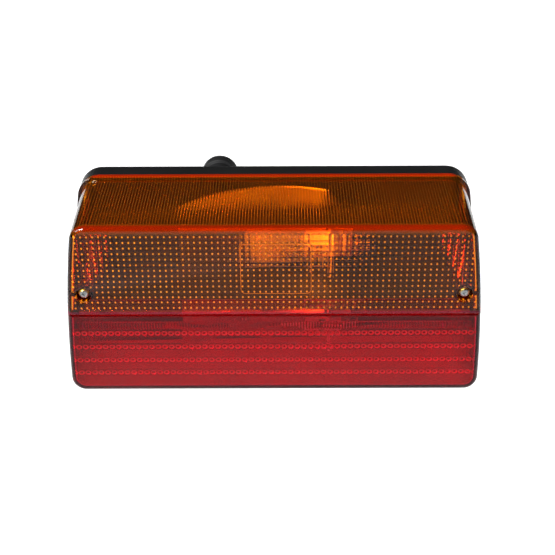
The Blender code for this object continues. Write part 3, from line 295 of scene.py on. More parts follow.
def buildMesh(name, parts, caps=(), weld=1e-6):
    # One mesh from (points, faces) blocks plus single flat caps, welded where they meet.
    points, faces, offset = [], [], 0
    for block, index in parts:
        flat = np.asarray(block, float).reshape(-1, 3)
        points.append(flat)
        faces += (index + offset).tolist()
        offset += len(flat)
    for cap in caps:
        flat = np.asarray(cap, float)
        points.append(flat)
        faces.append(list(range(offset, offset + len(flat))))
        offset += len(flat)
    mesh = bpy.data.meshes.new(name)
    mesh.from_pydata(np.concatenate(points).tolist(), [], faces)
    work = bmesh.new()
    work.from_mesh(mesh)
    bmesh.ops.remove_doubles(work, verts=work.verts, dist=weld)
    bmesh.ops.recalc_face_normals(work, faces=work.faces)
    work.to_mesh(mesh)
    work.free()
    return mesh


def placeOf(node):
    low, high = (np.array(corner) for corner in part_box(node))
    return low, high, (low + high) / 2


def addPiece(name, mesh, material, angle=35.0):
    piece = bpy.data.objects.new(name, mesh)
    bpy.context.scene.collection.objects.link(piece)
    mesh.materials.clear()
    mesh.materials.append(material)
    mesh.shade_smooth()
    mesh.set_sharp_from_angle(angle=math.radians(angle))
    return piece


def boxMesh(low, high):
    work = bmesh.new()
    size = Vector(high) - Vector(low)
    place = Matrix.Translation((Vector(low) + Vector(high)) / 2) @ Matrix.Diagonal((*size, 1.0))
    bmesh.ops.create_cube(work, size=1.0, matrix=place)
    mesh = bpy.data.meshes.new("box")
    work.to_mesh(mesh)
    work.free()
    return mesh


def lathe(name, profile, origin, direction, steps=64, closedProfile=False):
    # A profile of (radius, distance) turned round the axis: each point becomes a circle. Profile ends
    # on the axis close themselves when doubles are merged.
    profile = np.asarray(profile, float)
    if closedProfile:
        profile = np.vstack([profile, profile[:1]])
    angle = np.linspace(0.0, 2 * math.pi, steps, endpoint=False)
    axis = Vector(direction).normalized()
    turn = np.array(axis.to_track_quat("Z", "Y").to_matrix())
    local = np.stack([
        profile[:, :1] * np.cos(angle)[None, :],
        profile[:, :1] * np.sin(angle)[None, :],
        np.broadcast_to(profile[:, 1:], (len(profile), steps)),
    ], axis=-1)
    world = local @ turn.T + np.array(origin)
    return buildMesh(name, [(world, quads(len(profile), steps, wrap=True))], weld=2e-7)


def carve(mesh, tools, operation):
    # Joins or cuts closed tool meshes, one Boolean each, and returns the finished mesh.
    target = bpy.data.objects.new("carveTarget", mesh)
    bpy.context.scene.collection.objects.link(target)
    helpers = []
    for tool in tools:
        helper = bpy.data.objects.new("carveTool", tool)
        bpy.context.scene.collection.objects.link(helper)
        helpers.append(helper)
        made = target.modifiers.new("carve", "BOOLEAN")
        made.operation = operation
        made.solver = "MANIFOLD"
        made.object = helper
    bpy.context.view_layer.update()
    graph = bpy.context.evaluated_depsgraph_get()
    result = bpy.data.meshes.new_from_object(target.evaluated_get(graph))
    for item in (target, *helpers):
        bpy.data.objects.remove(item, do_unlink=True)
    return result


optics = {
    # amber face: rows of square pillows
    "pillowPitchX": 3.19 * mm,
    "pillowPitchZ": 3.354 * mm,
    "pillowEdge": 0.475 * mm,  # where one column of pillows begins, from the middle
    "pillowStart": 3.91 * mm,  # first row of pillows above the joint
    "pillowRows": 14,
    "pillowHeight": 0.42 * mm,
    # amber roof: flutes that run from front to back
    "flutePitch": 1.6 * mm,
    "fluteDepth": 0.42 * mm,
    "fluteEnd": 3.0 * mm,  # plain stretch at both ends
    # red face: rows of beads, thin lines, a band of slots and fine ribs
    "beadRows": (13.15 * mm, 21.95 * mm, 30.65 * mm, 39.05 * mm),  # below the joint
    "beadPitch": 3.73 * mm,
    "beadHalfHeight": 1.6 * mm,
    "beadHeight": 0.75 * mm,
    "lineOffset": 2.55 * mm,  # line above each bead row
    "lineHeight": 0.22 * mm,
    "lineWidth": 0.28 * mm,
    "slotTop": 6.0 * mm,
    "slotBottom": 10.2 * mm,
    "slotPitch": 1.6 * mm,
    "slotHeight": 0.4 * mm,
    "slotSoft": 0.3 * mm,
    "ribsFrom": (88 * mm, 96 * mm),  # fine upright ribs fade in towards the ends
    "ribPitch": 2.1 * mm,
    "ribHeight": 0.12 * mm,
    "edge": 4.5 * mm,  # plain margin at the sides of both faces
    "frame": {  # the rounded rectangle moulded in the middle of the amber face
        "x": 1.2 * mm, "z": 26.3 * mm, "halfWidth": 19.1 * mm, "halfHeight": 15.2 * mm,
        "round": 2.5 * mm, "height": 0.3 * mm, "width": 0.45 * mm,
    },
}
amberGrid = {"rows": 82, "cornerRows": 16, "columns": 241, "edgeColumns": 40}
redGrid = {"rows": 96, "cornerRows": 12, "columns": 241, "edgeColumns": 44}


def cell(value, pitch):
    # Position inside a repeating cell, from -1 to 1.
    return 2 * (value / pitch - np.floor(value / pitch)) - 1


def step(value, low, high):
    # Rises smoothly from 0 at low to 1 at high: 3 t squared less 2 t cubed.
    t = np.clip((value - low) / (high - low), 0.0, 1.0)
    return t * t * (3 - 2 * t)


def amberRelief(x, z):
    # Square pillows: each cell is a paraboloid cap, flat outside the rows.
    s = optics
    fromStart = z - jointZ - s["pillowStart"] + s["pillowPitchZ"] / 2
    a, b = cell(x - s["pillowEdge"], s["pillowPitchX"]), cell(fromStart, s["pillowPitchZ"])
    dome = s["pillowHeight"] * (1 - 0.5 * (a * a + b * b))
    inside = (fromStart > 0) & (fromStart < s["pillowRows"] * s["pillowPitchZ"])
    margin = step(sideX(z) - lens["wall"] - np.abs(x), 0.4 * mm, s["edge"] / 3)
    f = s["frame"]
    qx = np.abs(x - f["x"]) - (f["halfWidth"] - f["round"])
    qz = np.abs(z - f["z"]) - (f["halfHeight"] - f["round"])
    away = np.hypot(np.maximum(qx, 0), np.maximum(qz, 0)) + np.minimum(np.maximum(qx, qz), 0) - f["round"]
    ridge = f["height"] * np.exp(-((away / f["width"]) ** 2))
    return np.where(inside, dome, 0.0) * margin + ridge


def redRelief(x, z):
    # Rows of round beads, a thin step above each row, and a band of upright slots at the top.
    s = optics
    down = jointZ - z
    edge = step(sideX(z) - lens["wall"] - np.abs(x), s["edge"] * 0.6, s["edge"])
    height = np.zeros_like(x)
    for row in s["beadRows"]:
        a, b = cell(x, s["beadPitch"]), (down - row) / s["beadHalfHeight"]
        height = np.maximum(height, s["beadHeight"] * np.clip(1 - a * a - b * b, 0, 1) ** 0.6 * edge)
        line = np.exp(-(((down - row + s["lineOffset"]) / s["lineWidth"]) ** 2))
        height = height + s["lineHeight"] * line * edge
    slot = step(down, s["slotTop"] - s["slotSoft"], s["slotTop"])
    slot = slot * (1 - step(down, s["slotBottom"], s["slotBottom"] + s["slotSoft"]))
    height = height + s["slotHeight"] * slot * edge * (0.5 + 0.5 * np.cos(2 * math.pi * x / s["slotPitch"]))
    wave = 0.5 + 0.5 * np.cos(2 * math.pi * x / s["ribPitch"])
    return height + step(np.abs(x), *s["ribsFrom"]) * s["ribHeight"] * wave * edge


def lensShell(part, frontY, grid, relief):
    # Rings round the outline run from the front edge over the fillet, wall and lip and back inside to
    # the relief grid; the plain front face closes the outside.
    gap = lens["jointGap"] / 2
    wall = lens["wall"]
    up = 1 if part == "amber" else -1
    rings = []

    def addRing(y, grow, lift, flute=0.0):
        x, z = lensSheet(part, grow, lift, grid)
        if flute:
            wave = 0.5 + 0.5 * np.cos(2 * math.pi * x[-1] / optics["flutePitch"])
            fade = step(cornerOf(part)[0] - np.abs(x[-1]), 0.0, 3 * mm)
            z[-1] -= up * flute * wave * fade
        rings.append(np.stack([edgeLoop(x), np.full(len(edgeLoop(x)), y), edgeLoop(z)], axis=-1))

    for angle in np.linspace(0.0, math.pi / 2, 8):
        y = frontY + lens["frontFillet"] * (1 - math.cos(angle))
        inset = lens["frontFillet"] * (1 - math.sin(angle))
        addRing(y, draftAt(y) - inset, gap + lens["jointFillet"] * (1 - math.sin(angle)))
    addRing(lipFrontY - lens["lipRoot"], draftGrowth, gap)
    for y, grow in ((lipFrontY, rimOuter - 0.3 * mm), (lipFrontY + 0.3 * mm, rimOuter),
                    (lipBackY - 0.3 * mm, rimOuter), (lipBackY, rimOuter - 0.3 * mm)):
        addRing(y, grow, gap)
    addRing(lipBackY, rimInner, gap + wall)
    innerY = frontY + wall
    end = optics["fluteEnd"]
    depth = optics["fluteDepth"] if part == "amber" else 0.0
    for y, flute in ((lipBackY - end, 0.0), (lipBackY - end - 0.7 * mm, depth),
                     (innerY + end + 0.7 * mm, depth), (innerY + end, 0.0)):
        addRing(y, draftAt(y) - wall, gap + wall, flute)
    for angle in np.linspace(0.0, math.pi / 2, 5):
        y = innerY + 1.2 * mm * (1 - math.sin(angle))
        addRing(y, draftAt(y) - wall - 1.2 * mm * (1 - math.cos(angle)), gap + wall)
    x, z = lensSheet(part, draftAt(innerY) - wall - 1.2 * mm, gap + wall, grid)
    lifted = relief(x, z)
    lifted[0, :] = lifted[-1, :] = 0.0
    lifted[:, 0] = lifted[:, -1] = 0.0
    inner = np.stack([x, innerY + lifted, z], axis=-1)
    rings = np.stack(rings)
    blocks = [(rings, quads(*rings.shape[:2], wrap=True)), (inner, quads(*inner.shape[:2]))]
    return buildMesh(f"{part}Shell", blocks, caps=[rings[0]])


screwX = (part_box("lens_screw_right")[0][0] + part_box("lens_screw_right")[1][0]) / 2
screwZ = (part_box("lens_screw_right")[0][2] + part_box("lens_screw_right")[1][2]) / 2
well = {
    "columnRadius": 5.6 * mm,
    "boreRadius": 4.3 * mm,
    "boreDepth": 4.5 * mm,
    "holeRadius": 1.8 * mm,
    "mouthRound": 0.6 * mm,
    "ribThickness": 2.5 * mm,  # ties each column to the side wall
}
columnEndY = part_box("thread_insert_left")[0][1] - 0.2 * mm


def screwWells(mesh):
    # Adds the two screw columns to the amber shell and cuts their stepped holes.
    s = well
    rootY = lensFrontY + lens["wall"] / 2
    added, cutters = [], []
    for side in (-1, 1):
        x = side * screwX
        centre = (x, 0.0, screwZ)
        added.append(lathe("column", [
            (0, -rootY), (s["columnRadius"], -rootY),
            (s["columnRadius"] - 0.7 * mm, -columnEndY), (0, -columnEndY),
        ], centre, (0, -1, 0), 48))
        ribX = sorted((x, side * (float(sideX(screwZ)) - lens["wall"] / 2)))
        half = s["ribThickness"] / 2
        added.append(boxMesh((ribX[0], rootY, screwZ - half), (ribX[1], lipFrontY, screwZ + half)))
        front = -lensFrontY + 0.01 * mm
        seat = -(lensFrontY + s["boreDepth"])
        r, m = s["boreRadius"], s["mouthRound"]
        cutters.append(lathe("wellCutter", [
            (0, front + 2 * mm), (r + m, front + 2 * mm), (r + m, front), (r + 0.3 * m, front - 0.3 * m),
            (r, front - m),
            (r - 0.15 * mm, seat + 0.4 * mm), (r - 0.5 * mm, seat), (s["holeRadius"], seat),
            (s["holeRadius"], -columnEndY - 1 * mm), (0, -columnEndY - 1 * mm),
        ], centre, (0, -1, 0), 48))
    mesh = carve(mesh, added, "UNION")
    return carve(mesh, cutters, "DIFFERENCE")


def openShelf(mesh, part):
    # Takes away the joint wall behind the shelf, where the tray's divider stands.
    up = 1 if part == "amber" else -1
    shelfY = lensFrontY + lens["shelf"]
    reach = float(sideX(jointZ, draftAt(shelfY) - lens["wall"])) - 3 * mm
    zPair = sorted((jointZ - up * 2 * mm, jointZ + up * (lens["jointGap"] / 2 + lens["wall"] + 0.2 * mm)))
    behind = boxMesh((-reach, shelfY, zPair[0]), (reach, lipBackY + 2 * mm, zPair[1]))
    return carve(mesh, [behind], "DIFFERENCE")


print("lens shells")
amberMesh = lensShell("amber", lensFrontY, amberGrid, amberRelief)
amberMesh = openShelf(screwWells(amberMesh), "amber")
redMesh = openShelf(lensShell("red", redFrontY, redGrid, redRelief), "red")


# The same patterns as nodes, for the painted highlights where the moulded inside catches light
def cellNode(tree, value, pitch, start=0.0):
    # Position inside a repeating cell as nodes, from -1 to 1.
    shifted = combine(tree, "DIVIDE", combine(tree, "SUBTRACT", value, start), pitch)
    doubled = combine(tree, "MULTIPLY", combine(tree, "FRACT", shifted, 0.0), 2.0)
    return combine(tree, "SUBTRACT", doubled, 1.0)


def between(tree, value, low, high, soft):
    # 1 inside the band and 0 outside, with soft edges.
    return combine(tree, "MULTIPLY", mapRange(tree, value, low - soft, low),
                   mapRange(tree, value, high + soft, high))


def squareSum(tree, a, b):
    return combine(tree, "ADD", combine(tree, "MULTIPLY", a, a), combine(tree, "MULTIPLY", b, b))


def edgeGlow(tree, y, z, height, frontY, band):
    # The long front edge, and the lip's top edge more strongly, where light gathers in the plastic.
    corner = combine(tree, "MULTIPLY", mapRange(tree, y, frontY + 4.5 * mm, frontY + 2 * mm),
                     mapRange(tree, height, *band))
    lipTop = lensTop + rimOuter
    lip = combine(tree, "MULTIPLY", mapRange(tree, y, lipFrontY - 0.8 * mm, lipFrontY - 0.2 * mm),
                  mapRange(tree, z, lipTop - 1.1 * mm, lipTop - 0.6 * mm))
    return combine(tree, "MAXIMUM", corner, combine(tree, "MULTIPLY", lip, 1.7))


def seamShare(tree, y, height, frontY):
    # The thickness of the joint wall: its front edge, and the end of the shelf where light leaves it.
    shelfY = frontY + lens["shelf"]
    shelfEnd = between(tree, y, shelfY - 0.4 * mm, shelfY + 1 * mm, 0.2 * mm)
    frontEdge = mapRange(tree, y, frontY + 3.2 * mm, frontY + 2.6 * mm)
    thickness = mapRange(tree, height, 2.62 * mm, 2.3 * mm)
    return combine(tree, "MULTIPLY", thickness, combine(tree, "MAXIMUM", frontEdge, shelfEnd))


def passLampRays(tree, shader, tint):
    # Rays that look for a lamp go straight through with a tint, so the inside is lit.
    path = tree.nodes.new("ShaderNodeLightPath")
    lampPass = tree.nodes.new("ShaderNodeBsdfTransparent")
    lampPass.inputs["Color"].default_value = (*tint, 1.0)
    mix = tree.nodes.new("ShaderNodeMixShader")
    tree.links.new(path.outputs["Is Shadow Ray"], mix.inputs[0])
    tree.links.new(shader.outputs[0], mix.inputs[1])
    tree.links.new(lampPass.outputs[0], mix.inputs[2])
    tree.links.new(mix.outputs[0], tree.nodes["Material Output"].inputs["Surface"])


def lensPlastic(name, settings, frontY, glints):
    # Clear coloured plastic. The moulded inside gets painted highlights where glints is above 0.
    made, tree, shader = newMaterial(name)
    x, y, z = axes(tree)
    broad = noise(tree, objectPoint(tree), 35.0, 3.0)
    tint = ramp(tree, broad, 0.2, 0.8, settings["dark"], settings["light"])
    height = combine(tree, "ABSOLUTE", combine(tree, "SUBTRACT", z, jointZ), 0.0)  # from the joint
    corner = edgeGlow(tree, y, z, height, frontY, settings["edgeBand"])
    tint = mixColour(tree, combine(tree, "MINIMUM", corner, 1.0), tint, settings["edge"])
    side = combine(tree, "MULTIPLY", mapRange(tree, combine(tree, "ABSOLUTE", x, 0.0), 105 * mm, 111 * mm),
                   mapRange(tree, y, frontY + 2.5 * mm, frontY + 5 * mm))
    tint = mixColour(tree, side, tint, settings["wall"])
    seam = seamShare(tree, y, height, frontY)
    tint = mixColour(tree, seam, tint, settings["joint"])
    face = between(tree, y, frontY + lens["wall"] - 0.3 * mm, frontY + lens["wall"] + 1.5 * mm, 0.2 * mm)
    # painted highlights: where glints are set, the plastic turns diffuse in the glint colour
    paintedGlint = combine(tree, "MULTIPLY", face, glints(tree, x, z))
    other = combine(tree, "MULTIPLY", combine(tree, "SUBTRACT", 1.0, face), settings["body"](tree, x, y, z))
    paintedGlint = combine(tree, "ADD", paintedGlint, other)
    tint = mixColour(tree, paintedGlint, tint, settings["glint"])
    tree.links.new(tint, shader.inputs["Base Color"])
    haze = noise(tree, objectPoint(tree), 400.0, 2.0)
    tree.links.new(mapRange(tree, haze, 0.3, 0.8, 0.015, 0.04), shader.inputs["Roughness"])
    # painted glow: along the front edge, the lip and the joint seam, part of the plastic turns diffuse in the
    # edge or joint colour, so these bands glow in lamp light
    edgeGlowShare = combine(tree, "MAXIMUM", combine(tree, "MULTIPLY", corner, settings["edgeGlowShare"]),
                       combine(tree, "MULTIPLY", seam, settings["seamGlowShare"]))
    clear = combine(tree, "SUBTRACT", combine(tree, "SUBTRACT", 1.0, paintedGlint), edgeGlowShare)
    tree.links.new(clear, shader.inputs["Transmission Weight"])
    shader.inputs["IOR"].default_value = 1.49
    passLampRays(tree, shader, settings["lampTint"])
    return made


def frameDistance(tree, x, z):
    # Distance to the rounded rectangle moulded in the middle of the face, negative inside it.
    s = optics["frame"]
    q = []
    for value, middle, half in ((x, s["x"], s["halfWidth"]), (z, s["z"], s["halfHeight"])):
        away = combine(tree, "ABSOLUTE", combine(tree, "SUBTRACT", value, middle), 0.0)
        q.append(combine(tree, "SUBTRACT", away, half - s["round"]))
    outside = [combine(tree, "MAXIMUM", side, 0.0) for side in q]
    corner = combine(tree, "SQRT", squareSum(tree, *outside), 0.0)
    inside = combine(tree, "MINIMUM", combine(tree, "MAXIMUM", *q), 0.0)
    return combine(tree, "SUBTRACT", combine(tree, "ADD", corner, inside), s["round"])


def amberGlints(tree, x, z):
    # Painted highlights: one bright dot at each pillow's middle, uneven from place to place and painted
    # fainter towards the right, away from the light, and a painted highlight along the frame's outline.
    s = optics
    start = jointZ + s["pillowStart"] - s["pillowPitchZ"] / 2
    a = cellNode(tree, x, s["pillowPitchX"], s["pillowEdge"])
    b = cellNode(tree, z, s["pillowPitchZ"], start)
    dot = mapRange(tree, squareSum(tree, combine(tree, "MULTIPLY", a, 1.15), b), 0.20, 0.04)
    rows = between(tree, z, start, start + s["pillowRows"] * s["pillowPitchZ"], 0.1 * mm)
    unevenLitFromLeft = mapRange(tree, noise(tree, objectPoint(tree), 55.0, 3.0), 0.35, 0.65, 0.7, 1.0)
    # painted light falloff: the dots grow fainter towards the right, away from the light
    unevenLitFromLeft = combine(tree, "MULTIPLY", unevenLitFromLeft, mapRange(tree, x, -90 * mm, 110 * mm, 1.0, 0.75))
    dots = combine(tree, "MULTIPLY", combine(tree, "MULTIPLY", dot, rows), unevenLitFromLeft)
    outline = mapRange(tree, combine(tree, "ABSOLUTE", frameDistance(tree, x, z), 0.0), 0.35 * mm, 0.1 * mm)
    return combine(tree, "MAXIMUM", dots, combine(tree, "MULTIPLY", outline, 0.4))


def amberRoofGlints(tree, x, y, z):
    # Painted highlights: thin lines along the flutes of the roof.
    wave = cellNode(tree, x, optics["flutePitch"])
    line = mapRange(tree, combine(tree, "ABSOLUTE", wave, 0.0), 0.35, 0.1)
    roof = mapRange(tree, z, lensTop - 4.5 * mm, lensTop - 3.5 * mm)
    deep = between(tree, y, lensFrontY + 5 * mm, lipBackY - 3 * mm, 1 * mm)
    shown = combine(tree, "MULTIPLY", line, combine(tree, "MULTIPLY", roof, deep))
    strength = mapRange(tree, y, lensFrontY + 15 * mm, lensFrontY + 35 * mm, 0.11, 0.13)
    return combine(tree, "MULTIPLY", shown, strength)


def redGlints(tree, x, z):
    # Painted highlights: a faint painted glow over the face, bright painted rings on the beads in rows, a
    # thin painted highlight above each row, and faint upright slots below the joint drawn as darker stripes
    # in that glow.
    s = optics
    a = cellNode(tree, x, s["beadPitch"])
    down = combine(tree, "SUBTRACT", jointZ, z)
    # a faint painted glow over the whole red face
    total = 0.10
    for row in s["beadRows"]:
        b = combine(tree, "DIVIDE", combine(tree, "SUBTRACT", down, row), s["beadHalfHeight"])
        radius = squareSum(tree, a, b)
        ring = between(tree, radius, 0.3, 0.75, 0.25)
        total = combine(tree, "ADD", total, combine(tree, "MULTIPLY", ring, 0.5))
        above = row - s["lineOffset"]
        line = between(tree, down, above - 0.15 * mm, above + 0.15 * mm, 0.12 * mm)
        total = combine(tree, "ADD", total, combine(tree, "MULTIPLY", line, 0.12))
    slotWave = combine(tree, "ABSOLUTE", cellNode(tree, x, s["slotPitch"]), 0.0)
    slot = between(tree, down, s["slotTop"], s["slotBottom"], s["slotSoft"])
    dark = combine(tree, "MULTIPLY", slot, combine(tree, "MULTIPLY", slotWave, 0.09))
    total = combine(tree, "SUBTRACT", total, dark)
    return combine(tree, "MINIMUM", total, 0.95)


def redBody(tree, x, y, z):
    cloud = noise(tree, objectPoint(tree), 30.0, 2.0)
    return mapRange(tree, cloud, 0.3, 0.7, 0.01, 0.03)


amberPlastic = lensPlastic("amberPlastic", {
    "dark": (0.88, 0.25, 0.006), "light": (0.93, 0.32, 0.012), "edge": (0.62, 0.028, 0.0008),
    "joint": (0.86, 0.006, 0.09), "wall": (0.60, 0.10, 0.008), "glint": (1.0, 0.76, 0.01),
    "edgeBand": (49.0 * mm, 52.5 * mm), "edgeGlowShare": 0.3, "seamGlowShare": 0.1,
    "lampTint": (0.97, 0.8, 0.2), "body": amberRoofGlints,
}, lensFrontY, amberGlints)
redPlastic = lensPlastic("redPlastic", {
    "dark": (0.44, 0.004, 0.022), "light": (0.54, 0.007, 0.034), "edge": (0.35, 0.004, 0.008),
    "joint": (0.45, 0.004, 0.01), "wall": (0.36, 0.004, 0.012), "glint": (0.95, 0.010, 0.075),
    "edgeBand": (48.0 * mm, 50.5 * mm), "edgeGlowShare": 0.0, "seamGlowShare": 0.05,
    "lampTint": (0.95, 0.25, 0.3), "body": redBody,
}, redFrontY, redGlints)
amberLens = addPiece("amberLensShell", amberMesh, amberPlastic, 30)
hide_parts("amber_lens")
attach(amberLens, "lens_body")
redLens = addPiece("redLensShell", redMesh, redPlastic, 30)
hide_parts("red_lens")
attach(redLens, "lens_body")
for colour, mesh in (("amber", amberMesh), ("red", redMesh)):
    print(colour, "lens triangles", sum(len(face.vertices) - 2 for face in mesh.polygons))

print("reflectors")
sheet = {
    "thickness": 0.8 * mm,
    "radius": 76.5 * mm,
    "apexX": 2.8 * mm,  # where the bend touches the pillar that its screw goes into
    "roll": 0.25 * mm,  # rounding of the long edges
    "steps": 96,
    "drill": 1.45 * mm,
    "dark": (0.80, 0.80, 0.78),
    "light": (0.95, 0.94, 0.91),
}


def reflectorMaterial():
    made, tree, shader = newMaterial("reflectorMetal")
    shader.inputs["Metallic"].default_value = 1.0
    x = axes(tree)[0]
    cloud = noise(tree, objectPoint(tree), 60.0, 4.0)
    tree.links.new(ramp(tree, cloud, 0.25, 0.8, sheet["dark"], sheet["light"]), shader.inputs["Base Color"])
    across = mapRange(tree, x, -45 * mm, 12 * mm, 0.22, 0.3)
    fine = mapRange(tree, noise(tree, objectPoint(tree), 900.0, 2.0), 0.3, 0.7, -0.03, 0.03)
    tree.links.new(combine(tree, "ADD", across, fine), shader.inputs["Roughness"])
    addBump(tree, shader, cloud, 0.05, 0.0002)
    return made


reflectorMetal = reflectorMaterial()


def curvedReflector(chamber):
    # A sheet bent to an arc in plan: its section's two sides keep the thickness apart.
    s = sheet
    low, high = placeOf(f"{chamber}_reflector")[:2]
    rear = high[1]
    x = np.linspace(low[0] + 0.15 * mm, high[0] - 0.05 * mm, s["steps"])
    lean = np.sqrt(1 - ((x - s["apexX"]) / s["radius"]) ** 2)
    back = rear - s["radius"] * (1 - lean)
    normalX = -(x - s["apexX"]) / s["radius"]
    depth = s["thickness"]
    rings = []
    roll = s["roll"]
    for z, inset in ((low[2], roll), (low[2] + roll, 0.0), (high[2] - roll, 0.0), (high[2], roll)):
        front, behind = (
            np.stack([x + normalX * reach, back - lean * reach, np.full_like(x, z)], axis=-1)
            for reach in (depth - inset, inset)
        )
        rings.append(np.concatenate([behind, front[::-1]]))
    rings = np.stack(rings)
    sides = quads(*rings.shape[:2], wrap=True)
    mesh = buildMesh("sheet", [(rings, sides)], caps=[rings[0][::-1], rings[-1]], weld=1e-8)
    hole = (s["apexX"], rear, placeOf(f"{chamber}_reflector_screw")[2][2])
    profile = [(0, 6 * mm), (s["drill"], 6 * mm), (s["drill"], -6 * mm), (0, -6 * mm)]
    drill = lathe("drill", profile, hole, (0, -1, 0), 32)
    piece = addPiece(f"{chamber}Reflector", carve(mesh, [drill], "DIFFERENCE"), reflectorMetal, 35)
    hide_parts(f"{chamber}_reflector")
    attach(piece, "housing_body")


print("fasteners")
fasteners = {
    "screw": {
        "pitch": 0.5 * mm, "depth": 0.22 * mm, "shank": 1.5 * mm, "headHeight": 1.9 * mm,
        "recess": 0.6, "slim": 0.30,  # shares of the head's height and of the recess's width
        # the head's outline, as shares of its radius and height
        "dome": ((0, 1.0), (0.3, 0.995), (0.6, 0.95), (0.8, 0.83), (0.93, 0.62), (0.99, 0.36), (1.0, 0.2),
                 (0.97, 0.04), (0.9, 0.0)),
    },
    "bolt": {
        "pitch": 1.0 * mm, "depth": 0.5 * mm, "radius": 3.0 * mm, "headHeight": 4.0 * mm,
        "flats": 10.0 * mm, "chamfer": 0.7 * mm,
    },
    "washer": {"round": 0.25 * mm, "bore": 3.2 * mm},
    "nut": {"mouth": 0.6 * mm, "chamfer": 0.7 * mm, "bore": 3.2 * mm, "boreMouth": 3.9 * mm},
}


def threaded(name, radius, start, end, pitch, depth, centre, direction, tip=0.0, steps=40, perTurn=9):
    # A threaded rod: the radius dips by the depth once per pitch and turn, and narrows at the tip.
    rows = int(round((end - start) / pitch * perTurn)) + 1
    distance = np.linspace(start, end, rows)[:, None]
    angle = np.linspace(0.0, 2 * math.pi, steps, endpoint=False)[None, :]
    phase = (distance / pitch - angle / (2 * math.pi)) % 1.0
    groove = np.clip(1 - np.abs(phase * 2 - 1) * 1.25, 0, 1)
    taper = np.clip((end - distance) / max(tip, 1e-9), 0, 1) if tip else 1.0
    radii = (radius - depth * groove) * (0.72 + 0.28 * taper)
    axis = Vector(direction).normalized()
    turn = np.array(axis.to_track_quat("Z", "Y").to_matrix())
    along = np.broadcast_to(distance, radii.shape)
    local = np.stack([radii * np.cos(angle), radii * np.sin(angle), along], axis=-1)
    world = local @ turn.T + np.array(centre)
    caps = [world[0][::-1], world[-1]]
    return buildMesh(name, [(world, quads(rows, steps, wrap=True))], caps=caps, weld=1e-8)


def crossBars(centre, direction, width, depth, slim):
    # Two crossed bars that narrow towards the bottom, which cut a cross recess.
    bars = []
    axis = Vector(direction).normalized()
    turn = axis.to_track_quat("Z", "Y").to_matrix().to_4x4()
    for k in range(2):
        work = bmesh.new()
        bmesh.ops.create_cone(work, cap_ends=True, segments=4, radius1=width * 0.32, radius2=width * 0.72,
                              depth=depth * 2)
        square = Matrix.Rotation(math.pi / 4, 3, "Z")
        bmesh.ops.rotate(work, verts=work.verts, cent=(0, 0, 0), matrix=square)
        bmesh.ops.scale(work, verts=work.verts, vec=(slim, 1.0, 1.0))
        crossed = Matrix.Rotation(math.radians(20) + k * math.pi / 2, 3, "Z")
        bmesh.ops.rotate(work, verts=work.verts, cent=(0, 0, 0), matrix=crossed)
        bmesh.ops.transform(work, verts=work.verts, matrix=Matrix.Translation(Vector(centre)) @ turn)
        mesh = bpy.data.meshes.new("bar")
        work.to_mesh(mesh)
        work.free()
        bars.append(mesh)
    return bars


def lensScrew(side):
    # Pan head with a cross recess and a threaded shank, in the place of the plain one.
    s = fasteners["screw"]
    low, high, middle = placeOf(f"lens_screw_{side}")
    head = (high[0] - low[0]) / 2
    headHeight, shank = s["headHeight"], s["shank"]
    seat = np.array((middle[0], low[1] + headHeight, middle[2]))
    length = high[1] - seat[1]
    profile = [(head * r, headHeight * h) for r, h in s["dome"]]
    profile += [(shank * 0.8, 0.0), (shank * 0.8, -0.6 * mm), (0, -0.6 * mm)]
    body = lathe("screwHead", profile, seat, (0, -1, 0), 72)
    rod = threaded("screwThread", shank, 0.3 * mm, length, s["pitch"], s["depth"], seat, (0, 1, 0),
                   tip=1.2 * mm, steps=28)
    body = carve(body, [rod], "UNION")
    top = seat - np.array((0, headHeight, 0))
    bars = crossBars(top, (0, -1, 0), head * 1.15, headHeight * s["recess"], s["slim"])
    body = carve(body, bars, "DIFFERENCE")
    piece = addPiece(f"lensScrew_{side}", body, brightZinc, 32)
    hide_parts(f"lens_screw_{side}")
    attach(piece, f"{side}_screw")


def hexBlock(centre, direction, flats, low, high, chamfer, bothEnds):
    # A hexagon block whose corners are turned off by a cone at its ends.
    axis = Vector(direction).normalized()
    turn = axis.to_track_quat("Z", "Y").to_matrix().to_4x4()
    work = bmesh.new()
    corner = flats / math.sqrt(3)
    bmesh.ops.create_cone(work, cap_ends=True, segments=6, radius1=corner, radius2=corner, depth=high - low)
    bmesh.ops.translate(work, verts=work.verts, vec=(0, 0, (low + high) / 2))
    bmesh.ops.transform(work, verts=work.verts, matrix=Matrix.Translation(Vector(centre)) @ turn)
    mesh = bpy.data.meshes.new("hex")
    work.to_mesh(mesh)
    work.free()
    wide, slim = corner + 0.05 * mm, flats / 2 * 0.97
    start = (slim, low) if bothEnds else (wide, low)
    profile = [(0, high), (slim, high), (wide, high - chamfer), (wide, low + chamfer), start, (0, low)]
    return carve(mesh, [lathe("hexCone", profile, centre, direction, 96)], "INTERSECT")


